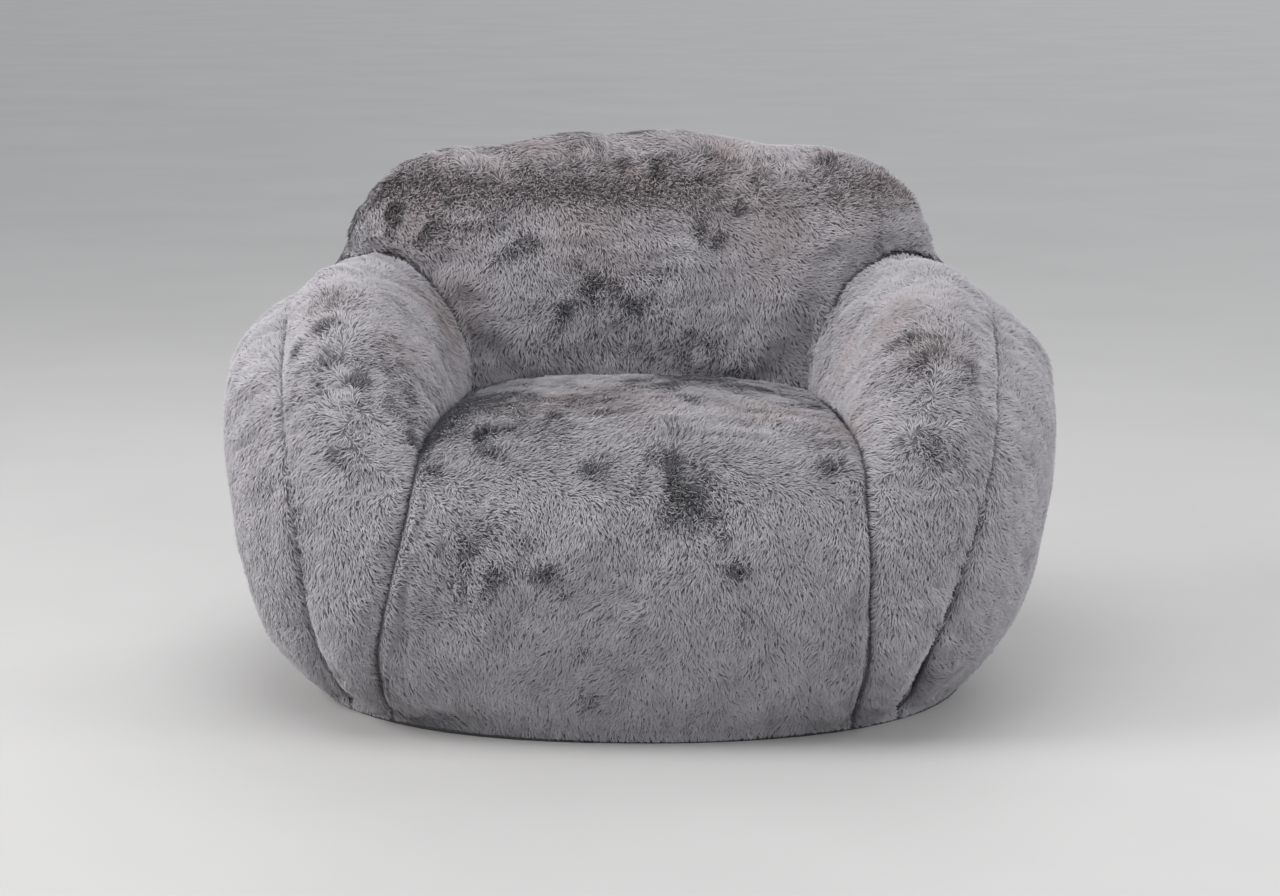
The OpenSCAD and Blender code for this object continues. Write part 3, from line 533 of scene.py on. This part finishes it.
# places where the tips are warmer in tone
WARM = np.array([
    [-0.291, 0.156, 0.66, 0.088, 0.9], [-0.147, 0.182, 0.702, 0.088, 0.9],
    [0.00, 0.164, 0.687, 0.088, 1.0], [0.146, 0.171, 0.69, 0.088, 0.9], [0.293, 0.165, 0.672, 0.073, 0.8],
    [-0.059, 0.135, 0.635, 0.087, 0.8], [0.173, 0.133, 0.62, 0.08, 0.7],
    [-0.288, 0.079, 0.502, 0.065, 0.9], [-0.322, -0.182, 0.488, 0.054, 0.5],
    [-0.422, -0.139, 0.545, 0.055, 0.5], [0.347, -0.14, 0.523, 0.062, 0.8],
    [0.385, -0.244, 0.498, 0.054, 0.6], [0.289, -0.07, 0.462, 0.042, 0.8],
    [-0.108, -0.251, 0.418, 0.067, 0.7], [0.00, -0.267, 0.421, 0.066, 0.6],
    [0.158, -0.264, 0.412, 0.073, 0.7], [0.265, -0.296, 0.391, 0.053, 0.8],
    [-0.067, -0.17, 0.424, 0.054, 0.5],
])
# lumps of stuffing along the crest: x, y, z, radius, height
LUMPS = np.array([
    [-0.13, 0.2, 0.74, 0.085, 0.008], [0.05, 0.2, 0.74, 0.08, 0.011], [0.145, 0.2, 0.73, 0.03, -0.004],
    [0.25, 0.2, 0.72, 0.06, 0.003], [-0.27, 0.2, 0.69, 0.05, 0.004],
])
BAND_Z, BAND_HALF = 0.672, 0.036        # height of the backrest's dark band, and half its height
BAND_SHARE = 0.68                       # strength of its ruffling
REST_FRONT = 0.22                       # the band ends behind this depth
RUFFLE_DRIFT = 0.009                    # how far the spots' outlines wander


def spot_field(p, spots):
    """Strongest of the spots at each point; a negative one is added."""
    total, sunk = np.zeros(p.shape[:-1]), np.zeros(p.shape[:-1])
    for x, y, z, radius, strength in spots:
        share = strength * np.exp(-((((p - [x, y, z]) / radius) ** 2).sum(-1) ** 1.2))
        total, sunk = np.maximum(total, share), np.minimum(sunk, share)
    return total + sunk


def crest_band(p):
    """The darker band across the front of the backrest, below its crest."""
    across = np.exp(-(((p[..., 2] - BAND_Z) / BAND_HALF) ** 2)) * smooth((REST_FRONT - p[..., 1]) / 0.02)
    return across * np.clip(0.75 + 0.45 * waves(p * [0.3, 1, 1], 0.035, 43), 0, 1)


def ruffled(p):
    """How ruffled the pile is at points p, from 0 to 1."""
    drift = np.stack([RUFFLE_DRIFT * waves(p, 0.045, seed) for seed in (44, 45, 46)], -1)
    spots = 1.25 * spot_field(p + drift, RUFFLES) * (0.85 + 0.8 * waves(p, 0.022, 41))
    return np.clip(np.maximum(spots, BAND_SHARE * crest_band(p)), 0, 1)


def warmed(p):
    """How warm the tips are in tone at points p, from 0 to 1."""
    spots = np.maximum(spot_field(p, WARM), crest_band(p))
    return np.clip(spots * (0.9 + 0.3 * waves(p, 0.06, 42)) + 0.06, 0, 1)


def relief_of(cover, moved):
    """{panel: height of the simulated puckers on its grid}, with most of the wide swelling taken out."""
    if moved is None:
        return {name: np.zeros(i.shape) for name, i in cover.index.items()}
    height, out = (moved * cover.normals).sum(-1), {}
    for name, i in cover.index.items():
        h = height[i]
        wide = blurred(h, BLUR_TIMES, 0.0)
        h = WRINKLE_GAIN * (h - wide) + BULGE_GAIN * wide
        out[name] = np.clip(h, WRINKLE_LOW, WRINKLE_HIGH)
    return out


def wander(p, rows):
    """Sum of smooth noises at points p, from rows of gain, size and seed."""
    return sum(gain * waves(p, size, seed) for gain, size, seed in rows)


coarse = Cover(panel_grids(1))
relief = relief_of(coarse, puffed(coarse))
fine_grids = panel_grids(2)
fine = Cover(fine_grids)
gaps = {name: edge_distances(g, HEMS[name]) for name, g in fine_grids.items()}
depth = np.zeros(len(fine.points))
free, hem_share = np.ones(len(fine.points)), np.ones(len(fine.points))
for name, i in fine.index.items():
    seam, hem_gap = gaps[name]
    pinch = PINCH * np.exp(-(seam / PINCH_W) ** 2) * (1 + wander(fine_grids[name], (PINCH_WANDER,)))
    depth[i] = SKIN_DEPTH - upsampled(relief[name]) + pinch
    free[i] = np.minimum(free[i], smooth(np.minimum(seam, hem_gap) / CALM))
    hem_share[i] = np.minimum(hem_share[i], smooth(hem_gap / HEM_ROLL))
lumps = wander(fine.points, LUMP_WAVES)
ruffle_bumps = RUFFLE_HEIGHT * ruffled(fine.points) * waves(fine.points, RUFFLE_SIZE, 7)
lumps += spot_field(fine.points, LUMPS) + ruffle_bumps
depth = lerp(HEM_DEPTH, np.minimum(depth - lumps * free, MAX_DEPTH), hem_share)
skin_points = fine.points - fine.normals * depth[:, None]
skin_points[:, 2] = np.maximum(skin_points[:, 2], HEM_Z)
skin_normals = fine.vertex_normals(skin_points)

CAD_PANEL = {"seat": "seat_panel", "rest": "backrest_panel", "back": "back_panel",
             "arm_left": "arm_panel_left", "arm_right": "arm_panel_right",
             "side_left": "side_panel_left", "side_right": "side_panel_right"}


# ---------------------------------------------------------------- pile
DENSITY = 225000              # tufts to a square metre
TUFTS_IN_PIECE = 64000
TUFT_LENGTH, TUFT_WIDTH = 0.0115, 0.0013
SEAM_LENGTH, SEAM_REACH = 0.5, 0.01     # share of its length that a tuft keeps at a seam, and how far in
ROOT_DEPTH = 0.0006                     # how deep a tuft's root is in the skin
MID_SWELL = 1.15                        # a tuft's width at its middle, as a share of that at its root
LOWEST = 0.0014                         # height that no tuft goes under
LIE_ROOT, LIE_TIP = math.radians(31), math.radians(7)      # how far a tuft's two halves stand up
LIE_SPREAD = 0.12
COMB_WAVES = ((0.7, 0.2, 21), (0.4, 0.05, 22), (0.3, 0.02, 23))     # turns of the comb: radians, size, seed
COMB_SPREAD, RUFFLED_SPREAD = 0.3, 1.2
TONE_WAVES = ((0.08, 0.012, 31), (0.05, 0.05, 32))
TONE_SPREAD = 0.04
SEAM_PAINTED_SHADE = 0.36                        # painted shade: how dark the pile is painted in a seam, where the tufts shade one another
DARK_TUFT, DARK_CHANCE = 0.62, 0.85     # how much darker a ruffled tuft may be, and how often
# a tuft's points are its root's two sides, its middle's two sides and its tip
TUFT_POINTS = 5
TUFT_QUAD, TUFT_TIP = [1, 0, 2, 3], [3, 2, 4]
TUFT_CORNERS = len(TUFT_QUAD + TUFT_TIP)
TUFT_ALONG = [0, 0, 0.55, 0.55, 1]
TUFT_LEAN = [-0.2, 0.2, -0.2, 0.2, 0.0]
TUFT_UV = [[0.9, 0.1], [0.1, 0.1], [0.1, 0.5], [0.9, 0.5], [0.9, 0.5], [0.1, 0.5], [0.5, 0.95]]


def scattered(panel):
    """Random places on a panel's skin: position, normal and distance from its seams."""
    gap = gaps[panel][0]
    i = fine.index[panel]
    low, high = slice(None, -1), slice(1, None)
    corners = [(low, low), (low, high), (high, high), (high, low)]
    p = [skin_points[i][c].reshape(-1, 3) for c in corners]
    n = [skin_normals[i][c].reshape(-1, 3) for c in corners]
    g = [gap[c].reshape(-1) for c in corners]
    area = np.linalg.norm(np.cross(p[2] - p[0], p[3] - p[1]), axis=-1) / 2
    total = np.cumsum(area)
    count = int(total[-1] * DENSITY)
    pick = np.sort(np.searchsorted(total, rng.uniform(0, total[-1], count)))
    a, b = rng.uniform(size=(2, count))
    w = [(1 - a) * (1 - b), (1 - a) * b, a * b, a * (1 - b)]

    def mix(q):
        return sum(wk[:, None] * qk[pick] if qk.ndim > 1 else wk * qk[pick] for wk, qk in zip(w, q))

    return mix(p), unit(mix(n)), mix(g)


def turned(panel, p, n):
    """Angle of the comb, from straight down the panel, at points p with normals n."""
    angle = wander(p, COMB_WAVES)
    if panel == "seat":
        angle += 1.45 * smooth((n[:, 2] - 0.45) / 0.4)
    if panel == "rest":
        angle += 1.1 * smooth((p[:, 2] - 0.48) / 0.1)
    return angle


def tufts(panel):
    """The panel's pile as arrays: points, point normals, tone with painted shade, warmth, ruffle."""
    p, n, gap = scattered(panel)
    count = len(p)
    ruffle = ruffled(p)
    down = np.array([0, -0.4 if panel in ("seat", "back") else 0.9, -1.0])
    down = unit(down - n * (n @ down)[:, None] + 1e-9)
    across = np.cross(n, down)
    angle = turned(panel, p, n) + rng.normal(0, COMB_SPREAD, count)
    angle += ruffle * rng.normal(0, RUFFLED_SPREAD, count)
    comb = down * np.cos(angle)[:, None] + across * np.sin(angle)[:, None]
    width_way = np.cross(n, comb)
    length = TUFT_LENGTH * rng.uniform(0.75, 1.2, count) * lerp(SEAM_LENGTH, 1.0, smooth(gap / SEAM_REACH))
    width = TUFT_WIDTH * rng.uniform(0.7, 1.25, count) / 2
    low = LIE_ROOT + rng.normal(0, LIE_SPREAD, count) + 0.5 * ruffle
    high = LIE_TIP + rng.normal(0, LIE_SPREAD, count) + 0.6 * ruffle

    def half(lie):
        """One half of each tuft, at that angle over the skin."""
        return (comb * np.cos(lie)[:, None] + n * np.sin(lie)[:, None]) * (length / 2)[:, None]

    root = p - n * ROOT_DEPTH
    mid = root + half(low)
    tip = mid + half(high)
    w = width_way * width[:, None]
    points = np.stack([root - w, root + w, mid - w * MID_SWELL, mid + w * MID_SWELL, tip], 1)
    points[..., 2] = np.maximum(points[..., 2], LOWEST)
    facing = n - comb * 0.18
    point_normals = unit(np.stack([facing + width_way * k for k in TUFT_LEAN], 1))
    tone_and_painted_shade = 1 + TONE_SPREAD * rng.normal(size=count) + wander(p, TONE_WAVES)
    if panel in ("seat", "rest"):
        tone_and_painted_shade += 0.12 * waves(p * [0.2, 1, 1], 0.012, 33) * smooth((p[:, 2] - 0.36) / 0.05)
    tone_and_painted_shade *= (1 - DARK_TUFT * (rng.uniform(size=count) < DARK_CHANCE * ruffle)) * (1 - 0.18 * ruffle)
    # painted shade: the pile is painted darker in and near the seams
    tone_and_painted_shade *= lerp(SEAM_PAINTED_SHADE, 1.0, smooth((gap - 0.001) / 0.0045))
    # painted shade: the pile on the seat's upward-facing top is painted darker
    if panel == "seat":
        tone_and_painted_shade *= 1 - 0.16 * smooth((n[:, 2] - 0.5) / 0.3)
    warmth = warmed(p)
    tone_and_painted_shade *= 1 - 0.2 * warmth
    return points, point_normals, tone_and_painted_shade, warmth, ruffle


def point_values(mesh, key, values):
    """Stores a number for each point, which the materials read."""
    stored = mesh.attributes.new(key, "FLOAT", "POINT")
    stored.data.foreach_set("value", np.asarray(values, np.float32).ravel())


def tuft_mesh(name, points, point_normals, tone_and_painted_shade, warmth, ruffle):
    """Each tuft is a quad for its lower half and a triangle for its upper half."""
    count = len(points)
    order = np.arange(count)
    corners = order[:, None] * TUFT_POINTS + np.array(TUFT_QUAD + TUFT_TIP)
    starts = order[:, None] * TUFT_CORNERS + np.array([0, len(TUFT_QUAD)])
    mesh = bpy.data.meshes.new(name)
    mesh.vertices.add(count * TUFT_POINTS)
    mesh.vertices.foreach_set("co", points.astype(np.float32).ravel())
    mesh.loops.add(count * TUFT_CORNERS)
    mesh.loops.foreach_set("vertex_index", corners.astype(np.int32).ravel())
    mesh.polygons.add(count * 2)
    mesh.polygons.foreach_set("loop_start", starts.astype(np.int32).ravel())
    mesh.update(calc_edges=True)
    point_values(mesh, "along", np.tile(TUFT_ALONG, count))
    for key, values in (("tone_and_painted_shade", tone_and_painted_shade), ("warmth", warmth), ("ruffle", ruffle)):
        point_values(mesh, key, np.repeat(values, TUFT_POINTS))
    cells = math.ceil(math.sqrt(count))
    cell = np.stack([order % cells, order // cells], -1)[:, None, :]
    spread = (cell + np.array(TUFT_UV)) / cells
    mesh.uv_layers.new(name="OFBake").uv.foreach_set("vector", spread.astype(np.float32).ravel())
    mesh.polygons.foreach_set("use_smooth", np.ones(count * 2, bool))
    mesh.normals_split_custom_set_from_vertices(point_normals.reshape(-1, 3))
    return mesh


# ---------------------------------------------------------------- materials
class Shader:
    """A node-based material around one Principled shader."""

    def __init__(self, name, roughness=0.8, metallic=0.0, sheen=0.0, specular=0.3):
        self.material = bpy.data.materials.new(name)
        self.material.use_nodes = True
        self.tree = self.material.node_tree
        self.shader = self.tree.nodes["Principled BSDF"]
        self.shader.inputs["Roughness"].default_value = roughness
        self.shader.inputs["Metallic"].default_value = metallic
        self.shader.inputs["Sheen Weight"].default_value = sheen
        self.shader.inputs["Sheen Roughness"].default_value = 0.45
        self.shader.inputs["Specular IOR Level"].default_value = specular

    def node(self, kind, inputs=None, **settings):
        """A new node; an input is a socket to link or a value to set."""
        made_node = self.tree.nodes.new("ShaderNode" + kind)
        for key, value in settings.items():
            setattr(made_node, key, value)
        for key, value in (inputs or {}).items():
            if isinstance(value, bpy.types.NodeSocket):
                self.tree.links.new(value, made_node.inputs[key])
            else:
                made_node.inputs[key].default_value = value
        return made_node

    def place(self):
        return self.node("TexCoord").outputs["Object"]

    def noise(self, scale, detail=3.0, roughness=0.55, stretch=None):
        vector = self.place()
        if stretch:
            vector = self.node("Mapping", {"Vector": vector, "Scale": stretch}).outputs["Vector"]
        return self.node("TexNoise", {"Vector": vector, "Scale": scale, "Detail": detail,
                                      "Roughness": roughness}).outputs["Fac"]

    def wave(self, scale, direction, distortion=0.0):
        inputs = {"Vector": self.place(), "Scale": scale, "Distortion": distortion}
        return self.node("TexWave", inputs, bands_direction=direction).outputs["Fac"]

    def math(self, operation, a, b):
        return self.node("Math", {0: a, 1: b}, operation=operation).outputs[0]

    def attribute(self, name):
        return self.node("Attribute", attribute_name=name).outputs["Fac"]

    def ramp(self, factor, *stops):
        """Colours by factor, from stops of (position, colour)."""
        found = self.node("ValToRGB", {"Fac": factor})
        elements = found.color_ramp.elements
        while len(elements) < len(stops):
            elements.new(0.5)
        for element, (position, colour) in zip(elements, stops):
            element.position, element.color = position, (*colour, 1)
        return found.outputs["Color"]

    def mixed(self, factor, a, b, kind="MIX"):
        found = self.node("Mix", data_type="RGBA", blend_type=kind)
        for socket, value in ((found.inputs[0], factor), (found.inputs[6], a), (found.inputs[7], b)):
            if isinstance(value, bpy.types.NodeSocket):
                self.tree.links.new(value, socket)
            else:
                socket.default_value = value if not isinstance(value, tuple) else (*value, 1)
        return found.outputs[2]

    def use(self, socket, value):
        self.tree.links.new(value, self.shader.inputs[socket])

    def bump(self, height, strength, distance):
        found = self.node("Bump", {"Height": height, "Strength": strength, "Distance": distance})
        self.use("Normal", found.outputs["Normal"])

    def range(self, value, low, high):
        return self.node("MapRange", {"Value": value, "To Min": low, "To Max": high}).outputs["Result"]


def grey(value, warm=0.0):
    """A grey, or with warm above 0 a slightly yellow one."""
    return (value * (1 + warm), value, value * (1 - warm))


# the pile's colours from root to tip, as (place along the tuft, colour)
HAIR = ((0.0, (0.31, 0.3, 0.322)), (0.25, (0.375, 0.363, 0.388)), (0.6, (0.41, 0.398, 0.424)),
        (1.0, (0.44, 0.428, 0.456)))
WARM_SHIFT = (1.08, 0.965, 0.92)
WAVE_PERIOD = math.tau / 20     # metres between the bands of a wave texture of scale 1


def warmer(colour):
    return tuple(a * b for a, b in zip(colour, WARM_SHIFT))


def fur_material():
    s = Shader("fur_pile", roughness=0.72, sheen=0.2, specular=0.15)
    along_tuft, tone_and_painted_shade = s.attribute("along"), s.attribute("tone_and_painted_shade")
    hair = s.ramp(along_tuft, *HAIR)
    warm = s.ramp(along_tuft, *((place, warmer(colour)) for place, colour in HAIR))
    colour = s.mixed(s.attribute("warmth"), hair, warm)
    clump = s.range(s.noise(150, 4.0), 0.87, 1.12)
    # the tone attribute multiplies the colour: random tone, with painted shade in the seams and on the seat's
    # top
    colour = s.mixed(1.0, colour, s.math("MULTIPLY", clump, tone_and_painted_shade), "MULTIPLY")
    s.use("Base Color", colour)
    s.use("Roughness", s.range(s.noise(60), 0.62, 0.85))
    return s.material


def backing_material():
    s = Shader("fur_backing", roughness=0.9, sheen=0.1, specular=0.1)
    speckle = s.math("ADD", s.noise(420, 4.0), s.math("MULTIPLY", s.noise(120, 3.0), 0.4))
    roots = s.ramp(speckle, (0.5, (0.12, 0.116, 0.126)), (0.9, (0.3, 0.29, 0.312)))
    shade = s.math("SUBTRACT", 1.0, s.math("MULTIPLY", s.attribute("ruffle"), 0.75))
    # the tone attribute holds painted shade along the skin's seams
    s.use("Base Color", s.mixed(1.0, roots, s.math("MULTIPLY", shade, s.attribute("tone_and_painted_shade")), "MULTIPLY"))
    s.bump(s.noise(420, 4.0), 0.7, 0.0012)
    return s.material


def weave_material(name, dark, light, pitch, across="XZ", roughness=0.85, sheen=0.2, depth_m=0.0003):
    """Crossed threads; 'across' holds the two directions that lie in the cloth."""
    s = Shader(name, roughness=roughness, sheen=sheen)
    warp, weft = (s.wave(WAVE_PERIOD / pitch, direction, 0.4) for direction in across)
    fuzz = s.math("MULTIPLY", s.noise(1 / pitch / 3, 3.0), 0.5)
    threads = s.math("ADD", s.math("MULTIPLY", s.math("ADD", warp, weft), 0.25), fuzz)
    s.use("Base Color", s.ramp(threads, (0.2, dark), (0.75, light)))
    s.use("Roughness", s.range(s.noise(35), roughness - 0.1, min(1.0, roughness + 0.08)))
    s.bump(threads, 0.7, depth_m)
    return s.material


def cell_material(name, dark, light, size, roughness, depth_m):
    s = Shader(name, roughness=roughness, sheen=0.1)
    cells = s.node("TexVoronoi", {"Vector": s.place(), "Scale": 1 / size}).outputs["Distance"]
    mottle = s.math("ADD", s.math("MULTIPLY", cells, 0.6), s.math("MULTIPLY", s.noise(60, 4.0), 0.5))
    s.use("Base Color", s.ramp(mottle, (0.2, light), (0.85, dark)))
    s.bump(cells, 0.6, depth_m)
    return s.material


def plastic_material(name, dark, light):
    s = Shader(name, roughness=0.42, specular=0.45)
    s.use("Base Color", s.ramp(s.noise(400, 3.0), (0.3, dark), (0.7, light)))
    s.use("Roughness", s.range(s.noise(900, 3.0), 0.34, 0.55))
    s.bump(s.noise(1500, 2.0), 0.25, 0.0001)
    return s.material


def metal_material():
    s = Shader("zip_nickel", roughness=0.3, metallic=1.0)
    wear = s.noise(90, 5.0)
    s.use("Base Color", s.ramp(wear, (0.35, grey(0.42, 0.02)), (0.65, grey(0.62, 0.02))))
    s.use("Roughness", s.range(s.noise(700, 3.0, stretch=(1, 1, 8)), 0.22, 0.42))
    s.bump(s.noise(1200, 2.0, stretch=(1, 1, 10)), 0.2, 0.00008)
    return s.material


fur, backing = fur_material(), backing_material()
SLOT_MATERIALS = {
    "fur": backing,
    "base_fabric": weave_material("base_cloth", grey(0.02), grey(0.06), 0.0022, across="XY"),
    "partition_fabric": cell_material("partition_felt", grey(0.5), grey(0.68), 0.0022, 0.9, 0.0004),
    "facing_fabric": weave_material("facing_cloth", (0.13, 0.125, 0.135), (0.25, 0.24, 0.26), 0.0018),
    "zip_tape": weave_material("zip_tape_cloth", grey(0.05), grey(0.11), 0.0009, sheen=0.3, depth_m=0.0002),
    "zip_teeth": plastic_material("zip_teeth_nylon", grey(0.045), grey(0.07)),
    "zip_metal": metal_material(),
    "label": weave_material("label_satin", grey(0.62), grey(0.8), 0.0007, roughness=0.5, sheen=0.4,
                            depth_m=0.0001),
    "bag_fabric": cell_material("bag_felt", grey(0.55), grey(0.75), 0.0018, 0.9, 0.0003),
    "foam": cell_material("foam_crumb", (0.5, 0.45, 0.33), (0.75, 0.7, 0.55), 0.004, 0.95, 0.0015),
}
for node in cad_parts.values():
    for slot in node.material_slots:
        slot.material = SLOT_MATERIALS[slot.material.name]


# ---------------------------------------------------------------- pieces
for panel in CAD_PANEL:
    i = fine.index[panel]
    quads = grid_quads(i.shape, 0, OUTWARD[panel])
    skin = made(panel + "_skin", mesh_from(panel + "_skin", skin_points[i].reshape(-1, 3), quads))
    skin.data.polygons.foreach_set("use_smooth", np.ones(len(quads), bool))
    spread = np.stack(np.meshgrid(*(steps(n - 1) for n in i.shape), indexing="ij"), -1).reshape(-1, 2)
    spread = spread[quads.ravel()]
    skin.data.uv_layers.new(name="OFBake").uv.foreach_set("vector", spread.astype(np.float32).ravel())
    skin.data.materials.append(backing)
    point_values(skin.data, "ruffle", ruffled(skin_points[i]))
    # painted shade: the skin is painted darker along its seams
    point_values(skin.data, "tone_and_painted_shade", lerp(0.4, 1.0, smooth(gaps[panel][0] / 0.006)))
    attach(skin, "root")
    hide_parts(CAD_PANEL[panel])
    pile = tufts(panel)
    parts = math.ceil(len(pile[0]) / TUFTS_IN_PIECE)
    for k, chosen in enumerate(np.array_split(np.arange(len(pile[0])), parts), 1):
        name = f"{panel}_pile_{k}"
        piece = made(name, tuft_mesh(name, *(values[chosen] for values in pile)))
        piece.data.materials.append(fur)
        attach(piece, "root")


for name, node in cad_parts.items():
    slot_name = next(s for s, m in SLOT_MATERIALS.items() if m == node.material_slots[0].material)
    if slot_name in ("partition_fabric", "bag_fabric", "foam"):
        held = made(name + "_held", node.data.copy())
        points = slewed([v.co for v in held.data.vertices])
        held.data.vertices.foreach_set("co", points.astype(np.float32).ravel())
        held.data.update()
        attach(held, "root")
        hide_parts(name)


# ---------------------------------------------------------------- floor, light and camera
def area_light(name, place, aim, size, power, colour=(1, 1, 1)):
    data = bpy.data.lights.new(name, "AREA")
    data.shape, data.size, data.energy, data.color = "DISK", size, power, colour
    light = made(name, data)
    light.location = place
    light.rotation_euler = (Vector(aim) - Vector(place)).to_track_quat("-Z", "Y").to_euler()


FLOOR_HALF = 60.0             # far enough for no edge to show
corners = np.array([[-1, -1, 0], [1, -1, 0], [1, 1, 0], [-1, 1, 0]]) * FLOOR_HALF
floor = made("floor", mesh_from("floor", corners, np.array([[0, 1, 2, 3]])))
ground = Shader("studio_floor", roughness=0.6, specular=0.25)
pale, paler = grey(0.5, 0.012), grey(0.54, 0.012)
ground.use("Base Color", ground.ramp(ground.noise(1.3, 4.0), (0.3, pale), (0.7, paler)))
floor.data.materials.append(ground.material)

area_light("key", (-3.7, -0.9, 2.5), (0, 0, 0.3), 2.4, 142, (1, 0.985, 0.97))
area_light("fill", (3.5, -1.4, 2.3), (0, 0, 0.3), 2.4, 62)
area_light("top", (-0.3, -0.6, 3.2), (0, 0.1, 0.3), 2.0, 28)
REAR_ENERGY, REAR_SOFTNESS, REAR_WAY = 0.75, math.radians(50), (-0.35, -1.0, -0.75)
rear_data = bpy.data.lights.new("rear", "SUN")
rear_data.energy, rear_data.angle = REAR_ENERGY, REAR_SOFTNESS
rear_light = made("rear", rear_data)
rear_light.rotation_euler = Vector(REAR_WAY).to_track_quat("-Z", "Y").to_euler()

SKY_COLOUR, SKY_STRENGTH = (0.8, 0.82, 0.85, 1), 0.59
world = bpy.data.worlds.new("studio")
world.use_nodes = True
background = world.node_tree.nodes["Background"]
background.inputs["Color"].default_value = SKY_COLOUR
background.inputs["Strength"].default_value = SKY_STRENGTH
scene = bpy.context.scene
scene.world = world
scene.view_settings.view_transform = "Standard"

# the camera's place in metres, how many degrees it looks down, and its lens and sensor in millimetres
CAMERA_PLACE, CAMERA_PITCH, CAMERA_LENS, CAMERA_SENSOR = (0.0, -4.2, 1.07), 10.2, 84.375, 36
camera = made("camera", bpy.data.cameras.new("camera"))
camera.data.lens = CAMERA_LENS
camera.data.sensor_width = CAMERA_SENSOR
camera.location = CAMERA_PLACE
camera.rotation_euler = (math.radians(90 - CAMERA_PITCH), 0, 0)
scene.camera = camera
